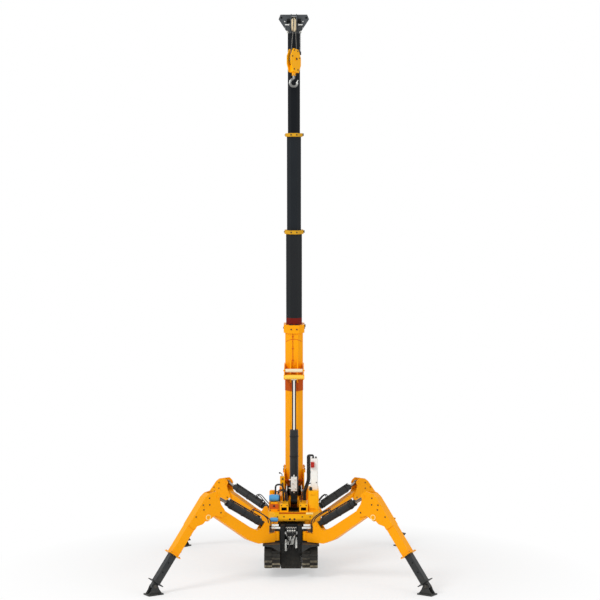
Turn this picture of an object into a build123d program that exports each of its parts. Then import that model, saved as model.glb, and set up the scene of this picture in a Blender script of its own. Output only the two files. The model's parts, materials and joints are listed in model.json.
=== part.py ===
from build123d import *
from collections import namedtuple
from math import asin, atan2, cos, degrees, hypot, pi, radians, sin, sqrt
import os

# Tracked spider crane, parked on its four outriggers with the boom raised and run out.
# Millimetres. +Z is up, the front of the crane looks along -Y, and the origin is on
# the ground in the middle of the four foot plates.

# Driving dimensions: stance
pad_x = 1921.0
pad_y = 1924.0
king_x = 215.0
king_y = 700.0
track_ground_gap = 142.0

# Running gear
track_inner_x = 165.0
track_width = 238.0
track_half_length = 930.0
track_height = 350.0
belt_thickness = 24.0
lug_height = 22.0
lug_pitches = 46
lug_share = 0.42
wheel_running_gap = 0.5
idler_width = 60.0
beam_width = 110.0
beam_height = 120.0
road_roller_radius = 46.0
road_roller_count = 4
carrier_roller_radius = 30.0
sprocket_teeth = 15
tooth_height = 14.0
guard_top_z = 522.7
guard_thickness = 8.0
guard_overhang = 20.0
guard_skirt = 60.0

# Undercarriage frame
keel_width = 300.0
deck_half_width = 205.0
deck_half_length = king_y - 100
keel_half_length = deck_half_length - 4
deck_bottom_z = 540.0
deck_top_z = 775.0
post_inner_x = 98.0
post_outer_x = 162.0
post_end_y = king_y + 42
lug_plate_thickness = 24.0
king_pin_radius = 23.0
king_tube_radius = 42.0
king_tube_bottom_z = 548.0
king_tube_top_z = 690.0
hinge_gap = 1.0
pin_gap = 0.3
pin_housing_radius = 19.0
plunger_radius = 22.0
slew_ring_radius = 270.0
slew_ring_height = 38.0

# Outrigger, in its own upright plane: r outwards from the king pin, z up
knuckle_r = 1262.0
knuckle_z = 1010.0
rear_knuckle_z = 900.0
arm_root_r = 480.0
base_pin_r = 240.0
base_pin_z = 808.0
foot_pin_z = 120.0
knuckle_offset = 144.0
rod_eye_offset = 101.7
rod_eye_rise = 329.5
arm_width = 110.0
arm_wall = 18.0
knuckle_plate = 14.0
plate_gap = 5.0
knuckle_pin_radius = 30.0
knuckle_boss_radius = 60.0
leg_depth = 130.0
leg_wall = 8.0
leg_tube_length = 713.7
inner_leg_depth = 100.0
inner_leg_width = 90.0
inner_leg_length = 1040.0
leg_end_flange = 14.0
foot_length = 230.0
foot_width = 170.0
foot_plate = 20.0
foot_gusset = 14.0
foot_lug_width = 60.0
foot_pin_radius = 18.0
leg_cylinder_radius = 57.0
leg_cylinder_length = knuckle_r - base_pin_r - 259
leg_cylinder_start = 92.0
leg_rod_length = leg_cylinder_length - 211
leg_pipe_radius = 9.0
leg_rod_radius = 24.0
leg_eye_radius = 42.0
leg_eye_width = 64.0
rod_eye_width = 50.0
small_pin_radius = 20.0

# Turret, measured from the slewing axis
turret_x = 40.0
turret_half_width = 395.0
turret_front_y = -600.0
turret_rear_y = 740.0
counterweight_rear_y = 800.0
counterweight_top_z = 1180.0
turret_top_z = 948.0
turret_corner = 150.0
block_half_width = 215.0
block_front_y = -520.0
block_rear_y = -60.0
block_top_z = 1066.0
slot_half_width = 84.0
pit_front_y = -335.0
pit_bottom_z = 900.0
column_plate = 18.0
column_gap = 298.0
left_box_top_z = 1090.0
tank_inner_x = 222.0
tank_outer_x = 386.0
tank_front_y = -470.0
tank_rear_y = 150.0
tank_top_z = 1262.0
hood_top_z = 1130.0
hood_sheet = 6.0
filter_radius = 47.0
filter_top_z = 1216.0
accumulator_radius = 54.0
accumulator_length = 156.0
slew_motor_radius = 33.0
slew_motor_z = 846.0
cabinet_inner_x = 262.0
cabinet_outer_x = 372.0
cabinet_front_y = -300.0
cabinet_height = 478.0
stop_box_width = 56.0
stop_box_depth = 52.0
stop_box_height = 84.0
stop_box_drop = 50.0
lever_valve_x = -175.0
lever_valve_base = 48.0
lever_valve_y = -44.0
lever_valve_bottom_z = 1285.0
lever_valve_top_z = 1440.0
pivot_y = 500.0
pivot_z = 1470.0
pivot_pin_radius = 32.0
luff_base_y = 90.0
luff_base_z = 1040.0
winch_y = 330.0
winch_z = 1165.0
winch_core_radius = 70.0
winch_flange_radius = 108.0
winch_width = 250.0

# Boom
boom_angle = 80.0
boom_tail = 110.0
tube_wall = 5.0
collar_wall = 24.0
collar_gap = 0.5
eye_along = 1600.0
eye_below = 300.0
luff_barrel_radius = 67.0
luff_barrel_length = 1127.0
luff_rod_radius = 33.0
luff_eye_radius = 62.0
luff_eye_width = 100.0
luff_pin_radius = 28.0
head_end = 7255.0
sheave_along = 7090.0
sheave_below = 216.0
sheave_radius = 108.0
sheave_axle_radius = 18.0
wheel_hub_radius = 40.0
wheel_web_half = 9.0
wheel_rim_half = 17.0
wheel_groove = 14.0
cheek_gap = 35.0
head_plate = 16.0
head_cheek = 12.0
jib_hole_radius = 16.0
jib_hole_x = 190.0
jib_hole_inset = 48.0
last_depth = 216.0

# Hoist
block_drop = 560.0
block_turn = 52.0
block_height = 360.0
block_plate = 14.0
block_plate_gap = 31.0
block_sheave_rise = 20.0
block_sheave_radius = 84.0
block_axle_radius = 22.0
swivel_length = 50.0
swivel_radius = 30.0
hook_bend_radius = 58.0
hook_eye_drop = 108.0
hook_steel_radius = 17.0
fall_radius = 6.0
rope_gap = 2.0
dead_end_x = 25.0
dead_end_drop = 46.0
dead_end_half = 7.0
dead_end_radius = 30.0

# Each tube of the boom: name, where it starts and ends along the boom, its width and depth, its collar's length
boom_tubes = [
    ("boom_base", -110.0, 2424.0, 284.0, 310.0, 130.0),
    ("boom_section_2", 1500.0, 3932.0, 252.0, 278.0, 58.0),
    ("boom_section_3", 3000.0, 5450.0, 222.0, 248.0, 52.0),
    ("boom_section_4", 4460.0, 6975.0, 190.0, last_depth, 0.0),
]

# Derived places
leg_run = hypot(pad_x - king_x, pad_y - king_y)
stance_angle = degrees(atan2(pad_y - king_y, pad_x - king_x))
arm_half = arm_width / 2
plate_inner = arm_half + plate_gap
plate_outer = plate_inner + knuckle_plate
track_outer_x = track_inner_x + track_width
turret_bottom_z = deck_top_z + slew_ring_height + pin_gap
lug_plate_top_z = king_tube_top_z + hinge_gap + lug_plate_thickness
plunger_z = lug_plate_top_z + pin_gap + 2 * pin_housing_radius + plunger_radius - 3
track_middle_x = track_inner_x + track_width / 2
track_top_z = track_ground_gap + track_height
loop_radius = track_height / 2 - lug_height
wheel_radius = loop_radius - belt_thickness - wheel_running_gap
wheel_z = track_ground_gap + track_height / 2
wheel_y = track_half_length - track_height / 2

Stance = namedtuple("Stance", "knuckle_z lean reach eye_distance cylinder_angle")


def stance(height):
    """How an outrigger stands when its knuckle is at a height: the leg's lean, the length from the
    foot pin up to the knuckle, and the distance and angle from the base pin to the rod's eye."""
    across, up = leg_run - knuckle_r, height - foot_pin_z
    lean = atan2(across, up) - asin(knuckle_offset / hypot(across, up))
    reach = sqrt(across**2 + up**2 - knuckle_offset**2)
    along = reach + rod_eye_rise
    eye_r = leg_run - rod_eye_offset * cos(lean) - along * sin(lean) - base_pin_r
    eye_z = foot_pin_z - rod_eye_offset * sin(lean) + along * cos(lean) - base_pin_z
    return Stance(height, degrees(lean), reach, hypot(eye_r, eye_z), degrees(atan2(eye_z, eye_r)))


# The front arms rise higher than the rear ones
stances = {"front": stance(knuckle_z), "rear": stance(rear_knuckle_z)}


def upright_prism(points, width, y=0.0):
    """A polygon in the XZ plane, extruded evenly to both sides of y."""
    face = Plane.XZ * make_face(Polyline(*points, close=True))
    return Pos(0, y, 0) * extrude(face, width / 2, both=True)


def flat_prism(points, bottom, top):
    """A polygon in plan, extruded from bottom to top."""
    face = make_face(Polyline(*points, close=True))
    return Pos(0, 0, bottom) * extrude(face, top - bottom)


def block(x0, x1, y0, y1, z0, z1):
    """A box between two corners."""
    middle = Pos((x0 + x1) / 2, (y0 + y1) / 2, (z0 + z1) / 2)
    return middle * Box(x1 - x0, y1 - y0, z1 - z0)


def rod_x(radius, length, y, z, x=0.0):
    """A round bar along X."""
    return Pos(x, y, z) * Rot(0, 90, 0) * Cylinder(radius, length)


def rod_y(radius, length, x, z, y=0.0):
    """A round bar along Y."""
    return Pos(x, y, z) * Rot(90, 0, 0) * Cylinder(radius, length)


def rod_z(radius, bottom, top, x=0.0, y=0.0):
    """An upright round bar."""
    return Pos(x, y, (bottom + top) / 2) * Cylinder(radius, top - bottom)


# Undercarriage


def loop_point(along, out):
    """A point on the track's oval path, pushed out square to it, and it is in the YZ plane."""
    straight = 2 * wheel_y
    bend = pi * loop_radius
    along = along % (2 * straight + 2 * bend)
    if along < straight:
        return (wheel_y - along, wheel_z - loop_radius - out)
    along -= straight
    if along < bend:
        turn = along / loop_radius
        reach = loop_radius + out
        return (-wheel_y - reach * sin(turn), wheel_z - reach * cos(turn))
    along -= bend
    if along < straight:
        return (-wheel_y + along, wheel_z + loop_radius + out)
    turn = (along - straight) / loop_radius
    reach = loop_radius + out
    return (wheel_y + reach * sin(turn), wheel_z + reach * cos(turn))


def track_half(x0, x1, shift):
    """Half the width of a rubber track: the belt's loop with its lugs in the outline."""
    pitch = (4 * wheel_y + 2 * pi * loop_radius) / lug_pitches
    outline = []
    for i in range(lug_pitches):
        start = (i + shift) * pitch
        end = start + lug_share * pitch
        flank = 0.06 * pitch
        outline += [
            loop_point(start, 0),
            loop_point(start + flank, lug_height),
            loop_point(end - flank, lug_height),
            loop_point(end, 0),
        ]
    inside = Pos(0, wheel_z) * SlotCenterToCenter(2 * wheel_y, 2 * (loop_radius - belt_thickness))
    face = make_face(Polyline(*outline, close=True)) - inside
    return Pos(x0, 0, 0) * extrude(Plane.YZ * face, x1 - x0)


def track(side):
    """One rubber track. The lugs of its two halves stand half a pitch apart."""
    inner = side * track_inner_x
    middle = side * track_middle_x
    outer = side * track_outer_x
    near = track_half(min(inner, middle), max(inner, middle), 0.0)
    far = track_half(min(middle, outer), max(middle, outer), 0.5)
    return near + far


def sprocket(x):
    """The toothed drive wheel at the back of a track."""
    root = wheel_radius - tooth_height
    wheel = rod_x(root, idler_width, wheel_y, wheel_z, x)
    tooth = block(
        x - idler_width / 4, x + idler_width / 4, -9, 9, root - 4, wheel_radius
    )
    for i in range(sprocket_teeth):
        wheel += Pos(0, wheel_y, wheel_z) * Rot(360 * i / sprocket_teeth, 0, 0) * tooth
    return wheel


def track_frame(side):
    """The beam inside a track with its idler, sprocket, road rollers and carrier roller."""
    x = side * track_middle_x
    keel_x = keel_width / 2
    low = wheel_z - loop_radius + belt_thickness + wheel_running_gap
    high = wheel_z + loop_radius - belt_thickness - wheel_running_gap
    beam_end = wheel_y - wheel_radius - 12
    beam = block(x - beam_width / 2, x + beam_width / 2, -beam_end, beam_end, low + 40, low + 40 + beam_height)
    frame = beam + sprocket(x)
    frame += rod_x(wheel_radius, idler_width, -wheel_y, wheel_z, x)
    for end in (-1, 1):
        near, far = sorted((end * (beam_end - 60), end * (wheel_y + 20)))
        for cheek in (-1, 1):
            cheek_x = x + cheek * (idler_width / 2 + 7)
            frame += block(cheek_x - 7, cheek_x + 7, near, far, wheel_z - 40, wheel_z + 40)
    for i in range(road_roller_count):
        y = (i - (road_roller_count - 1) / 2) * 2 * beam_end / road_roller_count
        frame += rod_x(road_roller_radius, idler_width, y, low + road_roller_radius, x)
    frame += rod_x(carrier_roller_radius, idler_width, 0, high - carrier_roller_radius, x)
    frame += block(x - 8, x + 8, -24, 24, low + 40 + beam_height, high - carrier_roller_radius)
    inner, outer = sorted((side * keel_x, x))
    for end in (-1, 1):
        y = end * beam_end * 0.55
        frame += block(inner, outer, y - 45, y + 45, low + 60, low + 140)
    return frame


def track_frames():
    """Both track frames, which stand apart on the keel's two sides."""
    return Compound(children=[track_frame(-1), track_frame(1)])


def track_guard(side):
    """The sheet cover over a track: a flat top with its front and rear edges turned down."""
    inner, outer = sorted((side * (post_outer_x + pin_gap), side * (track_outer_x + guard_overhang)))
    end = track_half_length + guard_overhang
    cover = block(inner, outer, -end, end, guard_top_z - guard_thickness, guard_top_z)
    for y in (-end, end - guard_thickness):
        edge_z = guard_top_z - guard_skirt
        lip = [
            (side * (post_outer_x + pin_gap), guard_top_z),
            (side * (post_outer_x + pin_gap), edge_z - 40),
            (side * (track_inner_x + 20), edge_z - 40),
            (side * (track_middle_x), edge_z + 20),
            (side * (track_outer_x + guard_overhang), guard_top_z - 24),
            (side * (track_outer_x + guard_overhang), guard_top_z),
        ]
        cover += upright_prism(lip, guard_thickness, y + guard_thickness / 2)
    return cover


def track_guards():
    return Compound(children=[track_guard(-1), track_guard(1)])


def corner_hinge(sx, sy):
    """The two plates at a corner that hold a king pin, and the pin."""
    x, y = sx * king_x, sy * king_y
    reach = king_tube_radius + 4
    plate = flat_prism(
        [
            (sx * post_inner_x, sy * (king_y - 60)),
            (x, y - sy * reach),
            (x, y + sy * reach),
            (sx * post_inner_x, sy * post_end_y),
        ],
        0,
        lug_plate_thickness,
    )
    plate += rod_z(reach, 0, lug_plate_thickness, x, y)
    low = king_tube_bottom_z - hinge_gap - lug_plate_thickness
    high = king_tube_top_z + hinge_gap
    pin = rod_z(king_pin_radius, low, high + lug_plate_thickness + 14, x, y)
    return Pos(0, 0, low) * plate + Pos(0, 0, high) * plate + pin


def undercarriage_frame():
    """The keel between the tracks, the deck above it and the four corner posts with their hinges."""
    keel = block(
        -keel_width / 2, keel_width / 2, -keel_half_length, keel_half_length, track_ground_gap, deck_bottom_z
    )
    deck = block(
        -deck_half_width, deck_half_width, -deck_half_length, deck_half_length, deck_bottom_z, deck_top_z
    )
    frame = keel + deck
    for sx in (-1, 1):
        for sy in (-1, 1):
            x0, x1 = sorted((sx * post_inner_x, sx * post_outer_x))
            y0, y1 = sorted((sy * (deck_half_length - 20), sy * post_end_y))
            frame += block(x0, x1, y0, y1, 360, deck_top_z)
            frame += corner_hinge(sx, sy)
    return frame


def locking_pins():
    """The sprung locking pins of the arms: a bright plunger over a grey housing at each corner."""
    pins = []
    for sx in (-1, 1):
        for sy in (-1, 1):
            x = sx * (king_x + 25)
            y = sy * (king_y + 30)
            base = rod_x(pin_housing_radius, 150, y, lug_plate_top_z + pin_housing_radius + pin_gap, x)
            base += rod_x(plunger_radius, 104, y, plunger_z, x)
            bore = rod_z(king_pin_radius + pin_gap, lug_plate_top_z - 10, lug_plate_top_z + 30, sx * king_x, sy * king_y)
            pins.append(base - bore)
    return Compound(children=pins)


def front_manifold():
    """The valve bank in the bay between the front posts: one row of unions over four pipes."""
    face_y = -(deck_half_length + pin_gap)
    bank = block(-88, 88, face_y - 60, face_y, 600, 740)
    for x in (-70, -35, 0, 35, 70):
        bank += rod_y(13, 46, x, 722, face_y - 60 - 21)
        bank += rod_y(11, 40, x + 4, 664, face_y - 60 - 18)
    for x in (-14, 14):
        bank += rod_z(9, 470, 602, x, face_y - 50)
    for x in (-45, 45):
        bank += rod_z(9, 470, 602, x, face_y - 46)
        bank += rod_z(20, 470, 528, x, face_y - 46)
    for x in (-76, 76):
        bank += rod_z(12, 380, 604, x, face_y - 34)
    return bank


def slewing_ring():
    """The large bearing between the undercarriage and the turret."""
    ring = rod_z(slew_ring_radius, deck_top_z, deck_top_z + slew_ring_height)
    return ring - rod_z(slew_ring_radius - 70, deck_top_z, deck_top_z + slew_ring_height)


# Outriggers: each is drawn once, with its king pin on the Z axis and its plane along +X


def arm(pose):
    """The arm from the king pin out to the knuckle, with the cylinder's lugs at its root."""
    low = king_tube_bottom_z - 12
    drop = knuckle_z - pose.knuckle_z
    outline = [
        (75, low),
        (372, low + 4),
        (480, 583),
        (549, 612),
        (knuckle_r - 105, knuckle_z + 12),
        (knuckle_r - 20, knuckle_z - 50),
        (knuckle_r, knuckle_z + 40),
        (knuckle_r - 72, knuckle_z + 115),
        (knuckle_r - 142, knuckle_z + 162),
        (knuckle_r - 297, knuckle_z + 68),
        (519, 797),
        (400, 742),
        (335, 742),
        (262, 838),
        (240, base_pin_z + 44),
        (212, base_pin_z + 40),
        (180, base_pin_z + 10),
        (180, 668),
        (75, 668),
    ]
    share = [max(0.0, (r - arm_root_r) / (knuckle_r - arm_root_r)) for r, z in outline]
    outline = [(r, z - part * drop) for (r, z), part in zip(outline, share)]
    body = upright_prism(outline, arm_width)
    body += rod_y(knuckle_boss_radius, arm_width, knuckle_r, pose.knuckle_z)
    body += block(0, 90, -king_tube_radius + 4, king_tube_radius - 4, king_tube_bottom_z, 664)
    body += rod_z(king_tube_radius, king_tube_bottom_z, king_tube_top_z)
    slot = leg_eye_width + 2 * plate_gap
    body -= block(150, 520, -slot / 2, slot / 2, base_pin_z - leg_eye_radius - 8, 960)
    body -= rod_z(king_pin_radius + pin_gap, 0, 900)
    body -= rod_y(knuckle_pin_radius + pin_gap, 2 * arm_width, knuckle_r, pose.knuckle_z)
    body += rod_y(small_pin_radius, arm_width + 16, base_pin_r, base_pin_z)
    return body


def leg_frame(pose):
    """The leg's own frame: origin at the foot pin, Z up the leg and X outwards."""
    return Pos(leg_run, 0, foot_pin_z) * Rot(0, -pose.lean, 0)


def leg(pose):
    """The knuckle's two plates, the pin through the arm's end and the square tube below them."""
    kx, kz = -knuckle_offset, pose.reach
    ex, ez = -rod_eye_offset, pose.reach + rod_eye_rise
    half = leg_depth / 2
    outline = [
        (-half, kz - 260),
        (-half, kz - 200),
        (kx + 15, kz - 124),
        (kx + 2, kz - 60),
        (kx - 62, kz + 18),
        (kx - 80, kz + 76),
        (kx - 206, kz + 130),
        (kx - 212, kz + 212),
        (kx - 178, kz + 236),
        (kx - 78, kz + 268),
        (ex - 52, ez - 16),
        (ex - 46, ez + 34),
        (ex, ez + 50),
        (ex + 70, ez + 44),
        (half - 22, ez - 40),
        (half, ez - 120),
        (half, kz - 260),
    ]
    body = upright_prism(outline, knuckle_plate, plate_inner + knuckle_plate / 2)
    body += upright_prism(outline, knuckle_plate, -plate_inner - knuckle_plate / 2)
    end_z = kz - leg_tube_length
    body += block(-half, half, -plate_inner, plate_inner, end_z, ez - 120)
    body -= block(
        -half + leg_wall, half - leg_wall, -plate_inner + leg_wall, plate_inner - leg_wall, 0, ez - 128
    )
    body += upright_prism([(half, ez - 122), (half - 22, ez - 40), (half - 32, ez - 40), (half - 12, ez - 122)], 2 * plate_inner)
    body += rod_y(knuckle_pin_radius, 2 * plate_outer + 20, kx, kz)
    for side in (-1, 1):
        y = side * (plate_outer + 4)
        body += rod_y(knuckle_boss_radius - 16, 8, kx, kz, y)
        body += rod_y(small_pin_radius, 8, ex, ez, y)
        boss_gap = rod_eye_width / 2 + 3
        body += rod_y(30, plate_inner - boss_gap, ex, ez, side * (plate_inner + boss_gap) / 2)
    flange = block(-half - 32, half + 32, -plate_inner - 24, plate_inner + 24, end_z, end_z + leg_end_flange)
    mouth_x = inner_leg_depth / 2 + hinge_gap
    mouth_y = inner_leg_width / 2 + hinge_gap
    flange -= block(-mouth_x, mouth_x, -mouth_y, mouth_y, 0, 900)
    body += flange
    return leg_frame(pose) * body


def inner_leg(pose):
    """The telescoping square tube that carries the foot."""
    half_x, half_y = inner_leg_depth / 2, inner_leg_width / 2
    body = block(-half_x, half_x, -half_y, half_y, 58, 58 + inner_leg_length)
    for z in (220, 370):
        body -= rod_y(11, 4 * half_y, 12, z)
    body += block(-half_x - 48, half_x + 48, -half_y - 28, half_y + 28, 50, 62)
    body += block(-44, 44, -foot_lug_width / 2, foot_lug_width / 2, 0, 54)
    body += rod_y(44, foot_lug_width, 0, 0)
    body -= rod_y(foot_pin_radius + pin_gap, 2 * foot_lug_width, 0, 0)
    return leg_frame(pose) * body


def foot():
    """The hinged foot: two curved gussets on a flat plate, with the pin through the leg's end."""
    low = foot_plate
    gusset_y = foot_lug_width / 2 + 2 + foot_gusset / 2
    shape = Plane.XZ * make_face(
        Polyline((-foot_length / 2 + 12, low), (foot_length / 2 - 12, low))
        + ThreePointArc((foot_length / 2 - 12, low), (54, low + 52), (32, foot_pin_z + 16))
        + Polyline((32, foot_pin_z + 16), (-32, foot_pin_z + 16))
        + ThreePointArc((-32, foot_pin_z + 16), (-54, low + 52), (-foot_length / 2 + 12, low))
    )
    gusset = extrude(shape, foot_gusset / 2, both=True)
    body = block(-foot_length / 2, foot_length / 2, -foot_width / 2, foot_width / 2, 0, foot_plate)
    body += Pos(0, gusset_y, 0) * gusset + Pos(0, -gusset_y, 0) * gusset
    body += rod_y(foot_pin_radius, 2 * gusset_y + foot_gusset + 16, 0, foot_pin_z)
    return Pos(leg_run, 0, 0) * body


def leg_cylinder_frame(pose):
    """The arm cylinder's own frame: origin at its base pin and X towards the rod's eye."""
    return Pos(base_pin_r, 0, base_pin_z) * Rot(0, -pose.cylinder_angle, 0)


def leg_cylinder(pose):
    """The barrel of an arm's cylinder, with its eye on the arm's base pin and its oil pipe on top."""
    start, end = leg_cylinder_start, leg_cylinder_length
    body = rod_x(leg_cylinder_radius, end - start - 70, 0, 0, (start + end - 70) / 2)
    body += rod_x(leg_cylinder_radius - 9, 72, 0, 0, end - 36)
    body += rod_y(leg_eye_radius, leg_eye_width, 0, 0)
    body += block(0, start + 6, -leg_eye_width / 2, leg_eye_width / 2, -leg_eye_radius + 8, leg_eye_radius - 8)
    body -= rod_y(small_pin_radius + pin_gap, 2 * leg_eye_width, 0, 0)
    bore = leg_rod_radius + pin_gap
    body -= rod_x(bore, end, 0, 0, start + 30 + end / 2)
    pipe_z = leg_cylinder_radius + leg_pipe_radius + 4
    body += rod_x(leg_pipe_radius, end - start - 60, 0, pipe_z, (start + end) / 2)
    for x in (start + 50, (start + end) / 2, end - 50):
        body += block(x - 14, x + 14, -12, 12, leg_cylinder_radius - 22, pipe_z)
    return leg_cylinder_frame(pose) * body


def leg_rod(pose):
    """The rod of an arm's cylinder, with its eye between the knuckle's plates."""
    end = pose.eye_distance
    body = rod_x(leg_rod_radius, leg_rod_length, 0, 0, end - leg_rod_length / 2)
    body += rod_y(leg_eye_radius - 2, rod_eye_width, end, 0)
    body -= rod_y(small_pin_radius + pin_gap, 2 * rod_eye_width, end, 0)
    return leg_cylinder_frame(pose) * body


# Turret


def turntable():
    """The turret's floor with its cut corners, and the slotted block in front that the lowered cylinder lies in."""
    w, f, r, c = turret_half_width, turret_front_y, turret_rear_y, turret_corner
    plan = [
        (-w, f + c), (-w + c * 0.7, f), (w - c * 0.7, f), (w, f + c),
        (w, r - c), (w - c, r), (-w + c, r), (-w, r - c),
    ]
    floor = flat_prism(plan, turret_bottom_z, turret_top_z)
    lower = [(x * 0.94, y * 0.94) for x, y in plan]
    floor -= flat_prism(plan, turret_bottom_z, turret_bottom_z + 30) - flat_prism(
        lower, turret_bottom_z, turret_bottom_z + 30
    )
    head = block(-block_half_width, block_half_width, block_front_y, block_rear_y, turret_top_z, block_top_z)
    head -= block(-slot_half_width, slot_half_width, block_front_y - 10, block_rear_y + 10, turret_top_z, block_top_z)
    floor -= block(-slot_half_width, slot_half_width, pit_front_y, block_rear_y, pit_bottom_z, turret_top_z)
    for side in (-1, 1):
        x = side * (slot_half_width + block_half_width) / 2
        head -= block(x - 42, x + 42, block_front_y - 10, block_front_y + 120, turret_top_z + 20, turret_top_z + 68)
    return floor + head


def boom_column():
    """The two plates that carry the boom's pivot, tied at their foot, with the luffing cylinder's lugs."""
    outline = [
        (-10, turret_top_z),
        (-10, 1075),
        (150, 1130),
        (pivot_y - 110, pivot_z + 30),
        (pivot_y - 60, pivot_z + 95),
        (pivot_y + 60, pivot_z + 95),
        (pivot_y + 100, pivot_z + 20),
        (pivot_y + 130, 1200),
        (pivot_y + 165, turret_top_z),
    ]
    face = make_face(Polyline(*outline, close=True))
    column = None
    for side in (-1, 1):
        x = side * (column_gap / 2 + column_plate / 2) - column_plate / 2
        plate = Pos(x, 0, 0) * extrude(Plane.YZ * face, column_plate)
        column = plate if column is None else column + plate
    half = column_gap / 2 + 5
    column += block(-half, half, pivot_y - 40, pivot_y + 140, turret_top_z, turret_top_z + 40)
    column += block(-half, half, pivot_y + 96, pivot_y + 116, turret_top_z, 1290)
    for side in (-1, 1):
        x = side * (luff_eye_width / 2 + plate_gap + 12)
        lug = block(x - 12, x + 12, luff_base_y - 75, luff_base_y + 75, turret_top_z, luff_base_z)
        column += lug + rod_x(75, 24, luff_base_y, luff_base_z, x)
    column += rod_x(luff_pin_radius, luff_eye_width + 2 * plate_gap + 60, luff_base_y, luff_base_z)
    column += rod_x(pivot_pin_radius, column_gap + 2 * column_plate + 30, pivot_y, pivot_z)
    return column


def winch_drum():
    """The rope drum between the column's plates."""
    drum = rod_x(winch_core_radius, winch_width, winch_y, winch_z)
    for side in (-1, 1):
        drum += rod_x(winch_flange_radius, 12, winch_y, winch_z, side * (winch_width / 2 - 6))
    return drum + rod_x(24, column_gap - 2 * pin_gap, winch_y, winch_z)


def left_box():
    """The valve box at the turret's left front."""
    box = block(-385, -222, -470, -120, turret_top_z, left_box_top_z)
    return box - block(-392, -232, -480, -440, 990, 1060)


def right_box():
    """The tall tank at the turret's right front."""
    tank = block(tank_inner_x, tank_outer_x, tank_front_y, tank_rear_y, turret_top_z, tank_top_z)
    return fillet(tank.edges().filter_by(Axis.Z), 18)


def engine_hood():
    """The ventilated cover over the engine at the turret's left rear, with its round air filter."""
    hood = fillet(block(-390, -200, -60, 600, turret_top_z, hood_top_z).edges().filter_by(Axis.Z), 22)
    hood -= block(
        -390 + hood_sheet, -200 - hood_sheet, -60 + hood_sheet, 600 - hood_sheet,
        turret_top_z, hood_top_z - hood_sheet,
    )
    for i in range(4):
        z = 988 + 32 * i
        hood -= block(-395, -380, 120, 480, z, z + 14)
    dome = rod_z(filter_radius, hood_top_z, filter_top_z, -390 + filter_radius, 0)
    return hood + chamfer(dome.edges().group_by(Axis.Z)[-1], 14)


def engine_block():
    """The engine, a plain mass under its cover."""
    return block(-376, -214, 20, 520, turret_top_z, hood_top_z - 30)


def counterweight():
    """The cast weight across the turret's tail, behind the column."""
    w = turret_half_width - turret_corner
    slab = block(-w, w, pivot_y + 168, counterweight_rear_y, turret_top_z, counterweight_top_z)
    return fillet(slab.edges().filter_by(Axis.Z), 14)


def blue_accumulator():
    """The pressure accumulator that lies across the left box."""
    z = left_box_top_z + pin_gap + accumulator_radius
    bottle = rod_x(accumulator_radius, 0.76 * accumulator_length, -400, z, -305)
    bottle += rod_x(accumulator_radius - 10, accumulator_length, -400, z, -305)
    return bottle


def slew_motor():
    """The blue motor that turns the slewing ring, hung on the front of the turret's floor."""
    y = turret_front_y - pin_gap - slew_motor_radius
    return rod_x(slew_motor_radius, 96, y, slew_motor_z, -302) + rod_x(slew_motor_radius - 7, 120, y, slew_motor_z, -302)


def control_cabinet():
    """The pale electrical cabinet on the right tank."""
    top = tank_top_z + cabinet_height
    box = block(cabinet_inner_x, cabinet_outer_x, cabinet_front_y, cabinet_front_y + 180, tank_top_z, top)
    return fillet(box.edges().filter_by(Axis.Z), 10)


def stop_box():
    """The red emergency stop box on the cabinet's front."""
    top = tank_top_z + cabinet_height - stop_box_drop
    rear = cabinet_front_y - pin_gap
    right = cabinet_inner_x + stop_box_width
    box = block(cabinet_inner_x, right, rear - stop_box_depth, rear, top - stop_box_height, top)
    button = rod_y(20, 24, right - stop_box_width / 2, top - stop_box_height / 2, rear - stop_box_depth - 10)
    return box + button


def lever_valve():
    """The manual valve on its post, left of the column."""
    x, y = lever_valve_x, lever_valve_y
    inner, outer = x + lever_valve_base / 2, x - lever_valve_base / 2
    body = block(outer, inner, y - 28, y + 28, block_top_z, block_top_z + 20)
    body += rod_z(22, block_top_z + 20, lever_valve_bottom_z, x, y)
    return body + block(outer - 22, inner, y - 28, y + 28, lever_valve_bottom_z, lever_valve_top_z)


# Boom


def boom_frame():
    """The boom's own frame: origin at its pivot, Z along the boom and Y to its upper side."""
    turn = radians(boom_angle)
    return Plane(origin=(0, pivot_y, pivot_z), x_dir=(1, 0, 0), z_dir=(0, -cos(turn), sin(turn))).location


def tube_section(width, depth):
    """The boom's eight-sided section: flat above, drawn in below."""
    x, y = width / 2, depth / 2
    cut, keel = 0.16 * width, 0.27 * width
    return make_face(
        Polyline(
            (-x + cut, y), (x - cut, y), (x, y - cut), (x, -y + keel),
            (x - keel, -y), (-x + keel, -y), (-x, -y + keel), (-x, y - cut), close=True,
        )
    )


def boom_tube(row):
    """One hollow tube of the boom, with the collar at its end that guides the next one."""
    name, start, end, width, depth, collar = row
    tube = Pos(0, 0, start) * extrude(tube_section(width, depth), end - start)
    tube -= Pos(0, 0, start - 1) * extrude(
        tube_section(width - 2 * tube_wall, depth - 2 * tube_wall), end - start + 2
    )
    if collar:
        index = [r[0] for r in boom_tubes].index(name)
        inside = boom_tubes[index + 1]
        ring = extrude(tube_section(width + 2 * collar_wall, depth + 2 * collar_wall), collar)
        ring -= extrude(tube_section(inside[3] + 2 * collar_gap, inside[4] + 2 * collar_gap), collar)
        tube += Pos(0, 0, end - collar) * ring
    return tube


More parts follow.
